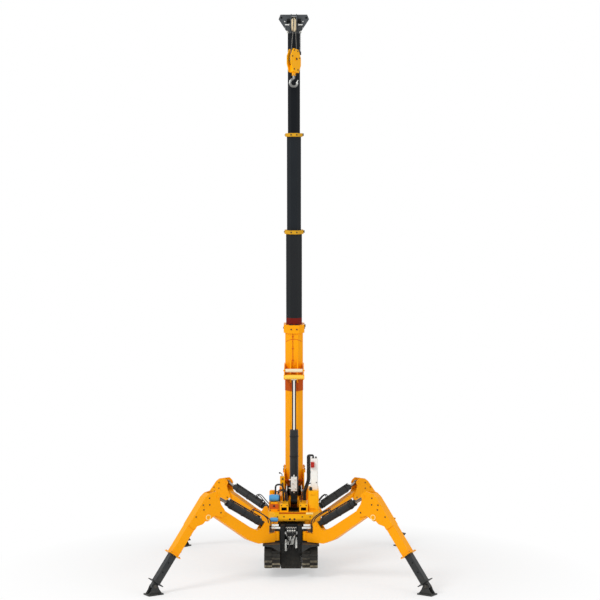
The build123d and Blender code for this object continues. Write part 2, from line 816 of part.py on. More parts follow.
def boom_base():
    """The lowest tube, with its foot on the pivot and the luffing cylinder's bracket below it."""
    row = boom_tubes[0]
    depth = row[4]
    body = boom_tube(row)
    foot = rod_x(95, row[3] + 2, 0, 0)
    body += foot - rod_x(pivot_pin_radius + pin_gap, 2 * row[3], 0, 0)
    body -= rod_x(pivot_pin_radius + pin_gap, 2 * row[3], 0, 0)
    lug_gap = luff_eye_width / 2 - 8 + plate_gap
    for side in (-1, 1):
        x = side * (lug_gap + 9)
        lug = [
            (-depth / 2 + 4, eye_along - 110),
            (-eye_below - 52, eye_along - 25),
            (-eye_below - 52, eye_along + 30),
            (-eye_below + 40, eye_along + 130),
            (-depth / 2 + 4, eye_along + 260),
        ]
        plate = Pos(x - 9, 0, 0) * extrude(Plane.YZ * make_face(Polyline(*lug, close=True)), 18)
        body += plate
        body += rod_x(small_pin_radius + 4, 14, -eye_below, eye_along, side * (lug_gap + 18 + 7))
    body += rod_x(24, 2 * lug_gap + 4, -eye_below + 20, eye_along + 120)
    return boom_frame() * body


def boom_section(index):
    return boom_frame() * boom_tube(boom_tubes[index])


def boom_head():
    """The welded head: cheeks that carry the sheave's axle, and the wide plate with holes for a jib."""
    last = boom_tubes[3]
    start = last[2]
    depth = last[4]
    body = Pos(0, 0, start) * extrude(tube_section(last[3], depth), 60)
    body -= rod_x(sheave_radius + 8, 2 * cheek_gap, -sheave_below, sheave_along)
    outline = [
        (depth / 2 - 10, start + 30),
        (depth / 2 - 10, head_end - 30),
        (-sheave_below + 20, head_end),
        (-sheave_below - 60, sheave_along + 40),
        (-sheave_below - 60, sheave_along - 50),
        (-depth / 2, start + 30),
    ]
    cheek_face = Plane.YZ * make_face(Polyline(*outline, close=True))
    for side in (-1, 1):
        x = side * (cheek_gap + head_cheek / 2) - head_cheek / 2
        body += Pos(x, 0, 0) * extrude(cheek_face, head_cheek)
    low, top = last[3] / 2, head_end - 70
    face = [(-low, start), (low, start), (235, top), (205, head_end), (-205, head_end), (-235, top)]
    plate = extrude(Plane.XZ * make_face(Polyline(*face, close=True)), head_plate)
    plate = Pos(0, -depth / 2, 0) * plate
    for side in (-1, 1):
        x0, x1 = sorted((side * (cheek_gap + 18), side * (cheek_gap + 78)))
        plate -= block(x0, x1, -depth, depth, sheave_along - 90, sheave_along + 70)
        plate -= rod_y(jib_hole_radius, 4 * depth, side * jib_hole_x, head_end - jib_hole_inset)
    plate -= block(-cheek_gap, cheek_gap, -depth, depth, sheave_along - 130, head_end - 22)
    body += plate
    body += rod_x(sheave_axle_radius, 2 * cheek_gap + 70, -sheave_below, sheave_along)
    return boom_frame() * body


def rope_wheel(radius, bore, hub_low, hub_high):
    """A grooved rope wheel round the X axis, with its hub longer on one side than on the other."""
    section = make_face(
        Polyline(
            (bore, -hub_low), (wheel_hub_radius, -hub_low), (wheel_hub_radius, -wheel_web_half),
            (radius - 26, -wheel_web_half), (radius, -wheel_rim_half), (radius - wheel_groove, 0),
            (radius, wheel_rim_half), (radius - 26, wheel_web_half), (wheel_hub_radius, wheel_web_half),
            (wheel_hub_radius, hub_high), (bore, hub_high), close=True,
        )
    )
    return Rot(0, 90, 0) * revolve(Plane.XZ * section, Axis.Z)


def rope_run(radius):
    """How far from its wheel's axle a rope lies that sits in the groove."""
    flank = atan2(wheel_rim_half, wheel_groove)
    return radius - wheel_groove + fall_radius / sin(flank) + rope_gap


def head_sheave():
    """The rope wheel in the boom's head."""
    hub_high = dead_end_x - dead_end_half - pin_gap
    wheel = rope_wheel(sheave_radius, sheave_axle_radius + pin_gap, cheek_gap - pin_gap, hub_high)
    return boom_frame() * (Pos(0, -sheave_below, sheave_along) * wheel)


# Hoist


def sheave_centre():
    """Where the head sheave turns, at rest."""
    turn = radians(boom_angle)
    y = pivot_y - sheave_along * cos(turn) - sheave_below * sin(turn)
    z = pivot_z + sheave_along * sin(turn) - sheave_below * cos(turn)
    return y, z


def block_frame():
    """The hook block's own frame: its origin is the middle of the block, below the head sheave."""
    y, z = sheave_centre()
    return Pos(0, y, z - block_drop) * Rot(0, 0, block_turn)


def hook_block():
    """The two cheek plates of the hook block, the sheave's axle and the swivel."""
    low = -block_height / 2
    outline = [(-70, low), (70, low), (120, -60), (120, 60), (62, 175), (-62, 175), (-120, 60), (-120, -60)]
    spacer_top = block_sheave_rise - block_sheave_radius - 12
    body = block(-56, 56, -block_plate_gap, block_plate_gap, low, spacer_top)
    for side in (-1, 1):
        body += upright_prism(outline, block_plate, side * (block_plate_gap + block_plate / 2))
    body += rod_y(block_axle_radius, 2 * (block_plate_gap + block_plate) + 20, 0, block_sheave_rise)
    body += rod_z(swivel_radius, low - swivel_length, low)
    return block_frame() * body


def block_sheave():
    """The rope wheel between the hook block's plates."""
    half = block_plate_gap - pin_gap
    wheel = rope_wheel(block_sheave_radius, block_axle_radius + pin_gap, half, half)
    return block_frame() * (Pos(0, 0, block_sheave_rise) * Rot(0, 0, 90) * wheel)


def straight_rope(start, end):
    """A round rope from one point to another, run on a little at both ends."""
    axis = Vector(*end) - Vector(*start)
    bar = Plane(origin=start, z_dir=axis) * Pos(0, 0, axis.length / 2)
    return bar * Cylinder(fall_radius, axis.length + rope_gap)


def bent_rope(path):
    """A rope along an arc, with an eight-sided section."""
    return sweep(Plane(origin=path @ 0, z_dir=path % 0) * RegularPolygon(fall_radius, 8), path=path)


def hoist_falls():
    """The taut hoist rope: over the head sheave, down round the block's sheave and up to its dead end on the axle."""
    y, z = sheave_centre()
    run = rope_run(sheave_radius)
    low_run = rope_run(block_sheave_radius)
    turn = radians(block_turn)
    low_z = block_sheave_rise - block_drop
    x, dy = low_run * cos(turn), low_run * sin(turn)
    rope = straight_rope((0, -run, 0), (-x, -dy, low_z))
    rope += straight_rope((dead_end_x, 0, -dead_end_drop), (x, dy, low_z))
    rope += bent_rope(Plane.YZ * CenterArc((0, 0, 0), run, 180, -110))
    under = Plane.XZ * CenterArc((0, 0, 0), low_run, 180, 180)
    rope += bent_rope(Pos(0, 0, low_z) * Rot(0, 0, block_turn) * under)
    socket = rod_x(dead_end_radius, 2 * dead_end_half, 0, 0, dead_end_x)
    socket += block(
        dead_end_x - dead_end_half, dead_end_x + dead_end_half, -12, 12, -dead_end_drop - 34, -dead_end_radius + 4
    )
    socket -= rod_x(sheave_axle_radius + pin_gap, 4 * dead_end_half, 0, 0, dead_end_x)
    return Pos(0, y, z) * (rope + socket)


def hook():
    """The forged hook below the swivel: a bent bar with worked edges and a thinner tip."""
    y, z = sheave_centre()
    shank_top = -block_drop - block_height / 2 - swivel_length - pin_gap
    eye_z = shank_top - hook_eye_drop
    r, t = hook_bend_radius, hook_steel_radius
    shank = rod_z(t + 2, eye_z + r - 4, shank_top)
    path = Plane.XZ * CenterArc((0, eye_z, 0), r, 90, 230)
    bend = sweep(Plane(origin=path @ 0, z_dir=path % 0) * RegularPolygon(t + 2, 8), path=path)
    path = Plane.XZ * CenterArc((0, eye_z, 0), r, 318, 42)
    tip = sweep(Plane(origin=path @ 0, z_dir=path % 0) * RegularPolygon(t - 3, 8), path=path)
    return Pos(0, y, z) * (shank + bend + tip)


# Luffing cylinder


def luff_eye():
    """Where the luffing rod's eye is, at rest."""
    turn = radians(boom_angle)
    y = pivot_y - eye_along * cos(turn) - eye_below * sin(turn)
    z = pivot_z + eye_along * sin(turn) - eye_below * cos(turn)
    return y, z


def luff_frame():
    """The luffing cylinder's own frame: origin at its base pin and Z towards the rod's eye."""
    y, z = luff_eye()
    return Plane(
        origin=(0, luff_base_y, luff_base_z), x_dir=(1, 0, 0), z_dir=(0, y - luff_base_y, z - luff_base_z)
    ).location


def luff_barrel():
    """The luffing cylinder's barrel."""
    end = luff_barrel_length
    body = rod_z(luff_barrel_radius, 100, end - 60)
    body += rod_z(luff_barrel_radius - 10, end - 62, end)
    body += rod_x(luff_eye_radius, luff_eye_width, 0, 0)
    body += block(-luff_eye_width / 2, luff_eye_width / 2, -luff_eye_radius + 6, luff_eye_radius - 6, 0, 104)
    body -= rod_x(luff_pin_radius + pin_gap, 2 * luff_eye_width, 0, 0)
    body -= rod_z(luff_rod_radius + pin_gap, 140, end + 10)
    return luff_frame() * body


def luff_rod():
    """The luffing cylinder's rod with its eye."""
    y, z = luff_eye()
    reach = hypot(y - luff_base_y, z - luff_base_z)
    eye_width = luff_eye_width - 16
    body = rod_z(luff_rod_radius, luff_barrel_length - 140, reach - 20)
    body += rod_x(luff_eye_radius - 14, eye_width, 0, reach)
    body -= rod_x(small_pin_radius + 4 + pin_gap, 2 * eye_width, 0, reach)
    return luff_frame() * body


def luff_valve():
    """The pale holding valve strapped to the front of the luffing barrel."""
    y = -luff_barrel_radius - 28
    body = block(-48, 48, y - 26, y + 27.6, 175, 395)
    body += rod_z(9, 140, 430, 0, y)
    body += rod_x(9, 128, y, 350, -14) + rod_x(9, 128, y, 215, -14)
    return luff_frame() * body


# Hoses


def hose(radius, bend, *points):
    """A hose held along its route, with round bends and an eight-sided section."""
    path = FilletPolyline(*points, radius=bend)
    return sweep(Plane(origin=path @ 0, z_dir=path % 0) * RegularPolygon(radius, 8), path=path)


def turret_hoses():
    """The turret's clipped hoses: two up beside the cabinet and into its top, and two loops to the left box."""
    top = block_top_z + 1
    box_top = left_box_top_z + 1
    clip_x = cabinet_inner_x - pin_gap
    clip_z = tank_top_z + 243
    cabinet_top = tank_top_z + cabinet_height
    crest = cabinet_top + 45
    bundle = block(clip_x - 62, clip_x, -246, -186, clip_z, clip_z + 35)
    for step in (0, 28):
        x = cabinet_inner_x - 46 + step
        y = -200 - step
        bundle += hose(
            9.5, 30,
            (152 + step, -96, top), (152 + step, -96, top + 133), (x, y, tank_top_z + 138), (x, y, crest),
            (cabinet_inner_x + 40, y, crest), (cabinet_inner_x + 40, y, cabinet_top + 1),
        )
    wide_top, low_top = left_box_top_z + 235, left_box_top_z + 150
    wide = hose(14, 50, (-160, -190, top), (-175, -190, wide_top), (-290, -190, wide_top), (-290, -190, box_top))
    low = hose(9, 40, (-130, -150, top), (-140, -150, low_top), (-250, -150, low_top), (-250, -150, box_top))
    return bundle + wide + low


def front_hoses():
    """Three hoses from the valve bank's lower unions, crossing down to the keel."""
    start_y = -(deck_half_length + pin_gap + 98 + pin_gap)
    end_y = -(keel_half_length + pin_gap)
    routes = [(-66, -10, 0), (39, -50, 20), (74, 30, 0)]
    return Compound(
        children=[
            hose(8, 18, (x0, start_y, 664), (x0, start_y - 26 - out, 664), (x1, start_y - 26 - out, 420), (x1, end_y, 420))
            for x0, x1, out in routes
        ]
    )


corners = [
    ("front_left", "front", -1, -1),
    ("front_right", "front", 1, -1),
    ("rear_left", "rear", -1, 1),
    ("rear_right", "rear", 1, 1),
]


def at_corner(solid, sx, sy):
    """Places an outrigger piece at its corner, turned out to its foot."""
    turn = degrees(atan2(sy * (pad_y - king_y), sx * (pad_x - king_x)))
    return Pos(sx * king_x, sy * king_y, 0) * Rot(0, 0, turn) * solid


nodes = {
    "undercarriage_frame": undercarriage_frame(),
    "track_left": track(-1),
    "track_right": track(1),
    "track_frames": track_frames(),
    "track_guards": track_guards(),
    "front_manifold": front_manifold(),
    "locking_pins": locking_pins(),
    "front_hoses": front_hoses(),
}
upper_works = {
    "slewing_ring": slewing_ring(),
    "slew_motor": slew_motor(),
    "turntable": turntable(),
    "boom_column": boom_column(),
    "left_box": left_box(),
    "right_box": right_box(),
    "engine_hood": engine_hood(),
    "engine_block": engine_block(),
    "counterweight": counterweight(),
    "blue_accumulator": blue_accumulator(),
    "control_cabinet": control_cabinet(),
    "stop_box": stop_box(),
    "lever_valve": lever_valve(),
    "turret_hoses": turret_hoses(),
    "winch_drum": winch_drum(),
    "luff_barrel": luff_barrel(),
    "luff_rod": luff_rod(),
    "luff_valve": luff_valve(),
    "boom_base": boom_base(),
    "boom_section_2": boom_section(1),
    "boom_section_3": boom_section(2),
    "boom_section_4": boom_section(3),
    "boom_head": boom_head(),
    "head_sheave": head_sheave(),
    "hook_block": hook_block(),
    "block_sheave": block_sheave(),
    "hoist_falls": hoist_falls(),
    "hook": hook(),
}
for name, solid in upper_works.items():
    nodes[name] = Pos(turret_x, 0, 0) * solid
outriggers = {
    pair: {
        "arm": arm(pose),
        "leg": leg(pose),
        "inner_leg": inner_leg(pose),
        "foot": foot(),
        "leg_cylinder": leg_cylinder(pose),
        "leg_rod": leg_rod(pose),
    }
    for pair, pose in stances.items()
}
for corner, pair, sx, sy in corners:
    for piece, solid in outriggers[pair].items():
        nodes[f"{piece}_{corner}"] = at_corner(solid, sx, sy)

os.makedirs("parts", exist_ok=True)
for name, solid in nodes.items():
    export_step(solid, f"parts/{name}.step")
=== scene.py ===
import json
from math import cos, pi, radians, sin

import bmesh
import bpy
import numpy as np
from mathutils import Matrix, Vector


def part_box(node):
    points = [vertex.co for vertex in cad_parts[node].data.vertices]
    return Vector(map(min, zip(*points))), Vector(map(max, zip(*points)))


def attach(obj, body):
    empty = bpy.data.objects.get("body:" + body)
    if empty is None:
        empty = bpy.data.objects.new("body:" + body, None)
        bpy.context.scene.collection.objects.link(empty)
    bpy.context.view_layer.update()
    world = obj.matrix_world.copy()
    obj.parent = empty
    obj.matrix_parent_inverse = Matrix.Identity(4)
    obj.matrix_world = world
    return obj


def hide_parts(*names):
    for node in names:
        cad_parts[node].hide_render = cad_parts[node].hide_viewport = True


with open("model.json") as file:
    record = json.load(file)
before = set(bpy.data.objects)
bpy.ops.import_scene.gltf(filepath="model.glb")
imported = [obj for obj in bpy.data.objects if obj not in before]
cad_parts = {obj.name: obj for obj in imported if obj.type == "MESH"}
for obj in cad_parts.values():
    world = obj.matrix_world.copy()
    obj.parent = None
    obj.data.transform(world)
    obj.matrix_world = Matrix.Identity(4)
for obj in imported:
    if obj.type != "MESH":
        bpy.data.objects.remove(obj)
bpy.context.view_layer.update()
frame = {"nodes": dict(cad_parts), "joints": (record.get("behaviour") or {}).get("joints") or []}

# Undercarriage frame, guards and corner posts
# Keel, deck and posts are cut from 8 to 24 mm plate, welded, blasted and sprayed with charcoal two-pack
# enamel, near black on the keel. The tracks throw dried mud at it, so it is dusty low down.


def linear(hex_code):
    """An sRGB hex colour as linear RGBA."""
    value = np.array([int(hex_code[i:i + 2], 16) for i in (1, 3, 5)]) / 255
    value = np.where(value <= 0.04045, value / 12.92, ((value + 0.055) / 1.055) ** 2.4)
    return (*value.tolist(), 1.0)


def add(tree, kind, sockets=None, **settings):
    """Adds one node with its settings, and gives each named socket a value or a link."""
    node = tree.nodes.new(kind)
    for key, value in settings.items():
        setattr(node, key, value)
    for key, value in (sockets or {}).items():
        if isinstance(value, bpy.types.NodeSocket):
            tree.links.new(value, node.inputs[key])
        else:
            node.inputs[key].default_value = value
    return node


def finish_with(name):
    """A new material with an empty tree, its Object coordinates and its output."""
    material = bpy.data.materials.new(name)
    material.use_nodes = True
    tree = material.node_tree
    tree.nodes.clear()
    place = add(tree, "ShaderNodeTexCoord").outputs["Object"]
    output = add(tree, "ShaderNodeOutputMaterial")
    return material, tree, place, output


def dust_mask(tree, place, low, high, share):
    """Dust: one where it lies, more on upward faces and from the height high down to low, broken up by patches of
    60 mm."""
    patches = add(tree, "ShaderNodeTexNoise", {"Vector": place, "Scale": 1 / 0.06, "Detail": 6.0, "Roughness": 0.65})
    height = add(tree, "ShaderNodeSeparateXYZ", {"Vector": place}).outputs["Z"]
    fall = add(
        tree, "ShaderNodeMapRange",
        {"Value": height, "From Min": high, "From Max": low, "To Max": share},
    ).outputs["Result"]
    facing = add(tree, "ShaderNodeSeparateXYZ", {"Vector": add(tree, "ShaderNodeNewGeometry").outputs["Normal"]})
    up = add(
        tree, "ShaderNodeMapRange",
        {"Value": facing.outputs["Z"], "From Min": 0.4, "To Max": 0.35 * share},
    ).outputs["Result"]
    sum_of = add(tree, "ShaderNodeMath", {0: fall, 1: up}, operation="ADD").outputs[0]
    spread = add(
        tree, "ShaderNodeMapRange",
        {"Value": patches.outputs["Fac"], "From Min": 0.35, "From Max": 0.7, "To Min": 0.15},
    ).outputs["Result"]
    return add(tree, "ShaderNodeMath", {0: sum_of, 1: spread}, operation="MULTIPLY", use_clamp=True).outputs[0]


def two_pack_enamel(name, paint, shade, roughness, high=1.2, share=0.35, dust="#8C8474", gloss=0.25):
    """Sprayed enamel: a glossy film with a 4 mm orange peel, slightly cloudy over 300 mm, dull where dust lies.
    On a Mix node socket 0 is the factor, 6 and 7 are the two colours, and output 2 is the mixed one."""
    material, tree, place, output = finish_with(name)
    cloud = add(tree, "ShaderNodeTexNoise", {"Vector": place, "Scale": 1 / 0.3, "Detail": 3.0}).outputs["Fac"]
    film = add(tree, "ShaderNodeMix", {0: cloud, 6: linear(paint), 7: linear(shade)}, data_type="RGBA").outputs[2]
    dusty = dust_mask(tree, place, 0.1, high, share)
    colour = add(tree, "ShaderNodeMix", {0: dusty, 6: film, 7: linear(dust)}, data_type="RGBA").outputs[2]
    dull = add(
        tree, "ShaderNodeMapRange", {"Value": dusty, "To Min": roughness, "To Max": 0.8}
    ).outputs["Result"]
    peel = add(tree, "ShaderNodeTexNoise", {"Vector": place, "Scale": 1 / 0.004, "Detail": 1.0}).outputs["Fac"]
    bump = add(tree, "ShaderNodeBump", {"Height": peel, "Strength": 0.12, "Distance": 0.0004}).outputs["Normal"]
    shader = add(
        tree, "ShaderNodeBsdfPrincipled",
        {"Base Color": colour, "Roughness": dull, "Normal": bump, "IOR": 1.5, "Specular IOR Level": gloss},
    )
    tree.links.new(shader.outputs[0], output.inputs["Surface"])
    return material


def dress(material, *names):
    """Gives CAD nodes their finish."""
    for name in names:
        mesh = frame["nodes"][name].data
        mesh.materials.clear()
        mesh.materials.append(material)


def turned(profile, centre, axis, sides=28, ring=False):
    """A turned piece: each (radius, height) of the profile goes to the centre plus height along the axis plus radius
    round it, at even angles. A ring's last row joins its first, and otherwise flat faces close both ends."""
    profile = np.array(profile, float)
    axis = np.array(axis, float) / np.linalg.norm(axis)
    side = np.cross(axis, (0.0, 0.0, 1.0) if abs(axis[2]) < 0.9 else (1.0, 0.0, 0.0))
    side /= np.linalg.norm(side)
    angle = 2 * pi * np.arange(sides) / sides
    round_it = np.cos(angle)[:, None] * side + np.sin(angle)[:, None] * np.cross(axis, side)
    points = np.array(centre) + profile[:, 1, None, None] * axis + profile[:, 0, None, None] * round_it
    return points.reshape(-1, 3), wrapped(len(profile), sides, ring)


def wrapped(rows, sides, ring=False):
    """The faces of rows of points that each go round once."""
    faces = []
    for row in range(rows if ring else rows - 1):
        here, there = row * sides, (row + 1) % rows * sides
        faces += [(here + i, here + (i + 1) % sides, there + (i + 1) % sides, there + i) for i in range(sides)]
    if not ring:
        faces += [tuple(range(sides)), tuple(range((rows - 1) * sides, rows * sides))]
    return faces


def hex_head(centre, axis, across=0.018, height=0.009):
    """A bolt's head: a six-sided turned piece with a chamfer, half the width across its corners in radius."""
    r = across / 2
    return turned([(r, -0.001), (r, 0.75 * height), (0.82 * r, height)], centre, axis, 6)


def oblong(left, right, low, high):
    """The corners of a rectangle, in order round it."""
    return [(left, low), (right, low), (right, high), (left, high)]


def plate(outline, thickness, origin, across, up, chamfer=0.002):
    """A flat plate with chamfered edges: its outline in the plane of two directions, drawn in a little at both faces
    and carried through the thickness, square to them."""
    outline = np.array(outline, float)
    across, up = np.array(across, float), np.array(up, float)
    through = np.cross(across, up)
    middle = outline.mean(axis=0)
    size = np.abs(outline - middle).max()
    drawn_in = middle + (outline - middle) * (1 - chamfer / size)
    rows = [(drawn_in, 0.0), (outline, chamfer), (outline, thickness - chamfer), (drawn_in, thickness)]
    points = [np.array(origin) + p[:, :1] * across + p[:, 1:] * up + h * through for p, h in rows]
    return np.concatenate(points), wrapped(4, len(outline))


def piece(name, shells, paint, body):
    """Joins shells of (points, faces) into one mesh with its faces outward, and hangs it on a body."""
    points, faces = [], []
    for shell_points, shell_faces in shells:
        start = len(points)
        points += np.asarray(shell_points).tolist()
        faces += [tuple(start + i for i in face) for face in shell_faces]
    mesh = bpy.data.meshes.new(name)
    mesh.from_pydata(points, [], faces)
    work = bmesh.new()
    work.from_mesh(mesh)
    bmesh.ops.recalc_face_normals(work, faces=work.faces)
    work.to_mesh(mesh)
    work.free()
    mesh.polygons.foreach_set("use_smooth", np.ones(len(mesh.polygons), bool))
    mesh.set_sharp_from_angle(angle=radians(32))
    mesh.materials.append(paint)
    made = bpy.data.objects.new(name, mesh)
    bpy.context.scene.collection.objects.link(made)
    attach(made, body)
    return made


sideways, rearward, upward = np.eye(3)
charcoal_enamel = two_pack_enamel("charcoal_enamel", "#222425", "#292B2C", 0.45, 0.6, 0.3)
black_zinc = two_pack_enamel("black_zinc_fastener", "#1D1E1F", "#2A2B2C", 0.35, 0.6, 0.3)
dress(charcoal_enamel, "track_guards")
keel_enamel = two_pack_enamel("keel_black_enamel", "#0C0D0D", "#121313", 0.5, 0.5, 0.2)
dress(keel_enamel, "undercarriage_frame")
posts = [(sx * 0.13, sy * 0.742, z) for sx in (-1, 1) for sy in (-1, 1) for z in (0.41, 0.5, 0.6, 0.74)]
guards = [(sx * x, sy * 0.95, 0.505) for sx in (-1, 1) for sy in (-1, 1) for x in (0.2, 0.29, 0.38)]
for name, spots, across, height in (("post_bolts", posts, 0.022, 0.01), ("guard_bolts", guards, 0.016, 0.007)):
    heads = [hex_head(spot, (0, np.sign(spot[1]), 0), across, height) for spot in spots]
    piece(name, heads, black_zinc, "undercarriage")

rib = oblong(-0.594, -0.36, 0.14, 0.52)
# Two black skid plates, low at the front and the rear: painted shadow under the machine
painted_shadow_skid = [(-0.151, 0.1), (0.151, 0.1), (0.163, 0.14), (0.163, 0.2), (-0.163, 0.2), (-0.163, 0.14)]
ribs = [plate(rib, 0.0125, (x, 0, 0), rearward, upward) for x in (-0.1632, 0.1507)]
ribs += [plate(painted_shadow_skid, 0.008, (0, y, 0), sideways, upward) for y in (-0.586, 0.594)]
piece("keel_side_ribs", ribs, keel_enamel, "undercarriage")

# Tracks
# Moulded rubber belts with steel cords inside and two rows of offset lugs, each with a raised chevron.
# Dry rubber is dull and near black, and the lugs' working faces are pale with ground-in dust.

track_low, track_high = (np.array(corner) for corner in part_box("track_left"))
track_half = (track_high[2] - track_low[2]) / 2
track_middle = (track_low[2] + track_high[2]) / 2
track_wheel_y = (track_high[1] - track_low[1]) / 2 - track_half
belt_radius = track_half - 0.022


def track_rubber():
    """Dull rubber, paler with dust on the lugs: dust goes by how far a point is outside the belt's path, and thins
    towards the top, which also keeps the upper run dark as painted shade under the guard.
    """
    material, tree, place, output = finish_with("moulded_track_rubber")
    axes = add(tree, "ShaderNodeSeparateXYZ", {"Vector": place}).outputs
    along = add(tree, "ShaderNodeMath", {0: axes["Y"]}, operation="ABSOLUTE").outputs[0]
    past = add(tree, "ShaderNodeMath", {0: along, 1: track_wheel_y}, operation="SUBTRACT").outputs[0]
    past = add(tree, "ShaderNodeMath", {0: past, 1: 0.0}, operation="MAXIMUM").outputs[0]
    above = add(tree, "ShaderNodeMath", {0: axes["Z"], 1: track_middle}, operation="SUBTRACT").outputs[0]
    arm = add(tree, "ShaderNodeCombineXYZ", {"X": past, "Y": above}).outputs[0]
    reach = add(tree, "ShaderNodeVectorMath", {0: arm}, operation="LENGTH").outputs["Value"]
    crown = add(
        tree, "ShaderNodeMapRange",
        {"Value": reach, "From Min": track_half - 0.016, "From Max": track_half - 0.001},
    ).outputs["Result"]
    patches = add(tree, "ShaderNodeTexNoise", {"Vector": place, "Scale": 1 / 0.05, "Detail": 7.0, "Roughness": 0.7})
    spread = add(
        tree, "ShaderNodeMapRange",
        {"Value": patches.outputs["Fac"], "From Min": 0.3, "From Max": 0.66, "To Min": 0.1},
    ).outputs["Result"]
    # Less dust up high: partly cleaner rubber, partly painted shade on the upper run under the guard
    dust_low_painted_shade_high = add(
        tree, "ShaderNodeMapRange", {"Value": axes["Z"], "From Min": 0.33, "From Max": 0.22, "To Min": 0.06}
    ).outputs["Result"]
    dusty = add(tree, "ShaderNodeMath", {0: crown, 1: spread}, operation="MULTIPLY", use_clamp=True).outputs[0]
    dusty = add(tree, "ShaderNodeMath", {0: dusty, 1: dust_low_painted_shade_high}, operation="MULTIPLY").outputs[0]
    haze = add(tree, "ShaderNodeMath", {0: spread, 1: 0.06}, operation="MULTIPLY").outputs[0]
    cover = add(tree, "ShaderNodeMath", {0: dusty, 1: haze}, operation="MAXIMUM").outputs[0]
    colour = add(
        tree, "ShaderNodeMix", {0: cover, 6: linear("#0E0E0E"), 7: linear("#9C937C")}, data_type="RGBA"
    ).outputs[2]
    grain = add(tree, "ShaderNodeTexNoise", {"Vector": place, "Scale": 1 / 0.006, "Detail": 4.0}).outputs["Fac"]
    bump = add(tree, "ShaderNodeBump", {"Height": grain, "Strength": 0.35, "Distance": 0.001}).outputs["Normal"]
    shader = add(
        tree, "ShaderNodeBsdfPrincipled", {"Base Color": colour, "Roughness": 0.82, "Normal": bump, "IOR": 1.52}
    )
    tree.links.new(shader.outputs[0], output.inputs["Surface"])
    return material


def on_loop(along, out):
    """Points of the belt's oval path: two straight runs and two half turns, each pushed out square to the path."""
    run, bend = 2 * track_wheel_y, pi * belt_radius
    along = along % (2 * run + 2 * bend)
    first, second = (along - run) / belt_radius, (along - 2 * run - bend) / belt_radius
    reach = belt_radius + out
    where = [along < run, along < run + bend, along < 2 * run + bend]
    y = np.select(
        where, [track_wheel_y - along, -track_wheel_y - reach * np.sin(first), along - run - bend - track_wheel_y],
        track_wheel_y + reach * np.sin(second),
    )
    z = np.select(where, [-reach, -reach * np.cos(first), reach + 0 * along], reach * np.cos(second))
    return y, z + track_middle


def chevrons(side):
    """Two bars on each lug that meet in a V: the corners of each bar are laid on the belt's path, low and high."""
    lugs, phase, margin, slant, half_bar = 46, 0.21, 0.012, 0.007, 0.003
    pitch = (4 * track_wheel_y + 2 * pi * belt_radius) / lugs
    width = (track_high[0] - track_low[0]) / 2
    bars = []
    for half, shift in ((0, 0.0), (1, 0.5)):
        left = half * width - track_high[0]
        ridge, right = left + width / 2, left + width
        middle = (np.arange(lugs) + shift + phase) * pitch
        for x0, x1, s0, s1 in ((left + margin, ridge, -slant, slant), (ridge, right - margin, slant, -slant)):
            for out in (0.019, 0.0255):
                for x, s in ((x0, s0 - half_bar), (x0, s0 + half_bar), (x1, s1 + half_bar), (x1, s1 - half_bar)):
                    y, z = on_loop(middle + s, out)
                    bars.append(np.stack([np.full(lugs, side * x), y, z], -1))
    bars = np.array(bars).reshape(4, 8, lugs, 3).transpose(0, 2, 1, 3).reshape(-1, 3)
    box = [(0, 1, 2, 3), (4, 5, 6, 7), (0, 1, 5, 4), (1, 2, 6, 5), (2, 3, 7, 6), (3, 0, 4, 7)]
    return bars, [tuple(8 * i + v for v in face) for i in range(len(bars) // 8) for face in box]


rubber = track_rubber()
dress(rubber, "track_left", "track_right")
piece("track_chevrons", [chevrons(-1), chevrons(1)], rubber, "undercarriage")
black_enamel = two_pack_enamel("black_enamel", "#0E0F10", "#151617", 0.4, 0.5, 0.5)
dress(black_enamel, "track_frames")
cap = [(0.024, 0.0), (0.024, 0.006), (0.014, 0.01)]
caps = [turned(cap, (s * 0.316, y, 0.24), (s, 0, 0)) for s in (-1, 1) for y in np.linspace(-0.63, 0.63, 4)]
piece("roller_caps", caps, black_zinc, "undercarriage")

# Valve bank, locking pins and slewing ring
# The bank is a milled black block. Its unions and tubes and the arms' locking pins are turned steel with a zinc
# plating, a little uneven in colour; the unions and tubes are near white and less metallic, a painted reflection.
# Black hoses cross below the bank.


def zinc_plating(name, bright, dark, roughness, metal=1.0):
    """Plated steel: a metal whose tone and polish wander over 25 mm, with 3 mm of fine tool marks. With less metal,
    a pale coat shows its colour as it is, a painted reflection of bright surroundings."""
    material, tree, place, output = finish_with(name)
    wander = add(tree, "ShaderNodeTexNoise", {"Vector": place, "Scale": 1 / 0.025, "Detail": 5.0}).outputs["Fac"]
    colour = add(tree, "ShaderNodeMix", {0: wander, 6: linear(bright), 7: linear(dark)}, data_type="RGBA").outputs[2]
    dull = add(
        tree, "ShaderNodeMapRange",
        {"Value": wander, "From Min": 0.3, "From Max": 0.7, "To Min": roughness - 0.08, "To Max": roughness + 0.1},
    ).outputs["Result"]
    marks = add(tree, "ShaderNodeTexNoise", {"Vector": place, "Scale": 1 / 0.003, "Detail": 2.0}).outputs["Fac"]
    bump = add(tree, "ShaderNodeBump", {"Height": marks, "Strength": 0.1, "Distance": 0.0003}).outputs["Normal"]
    shader = add(
        tree, "ShaderNodeBsdfPrincipled", {"Base Color": colour, "Metallic": metal, "Roughness": dull, "Normal": bump}
    )
    tree.links.new(shader.outputs[0], output.inputs["Surface"])
    return material


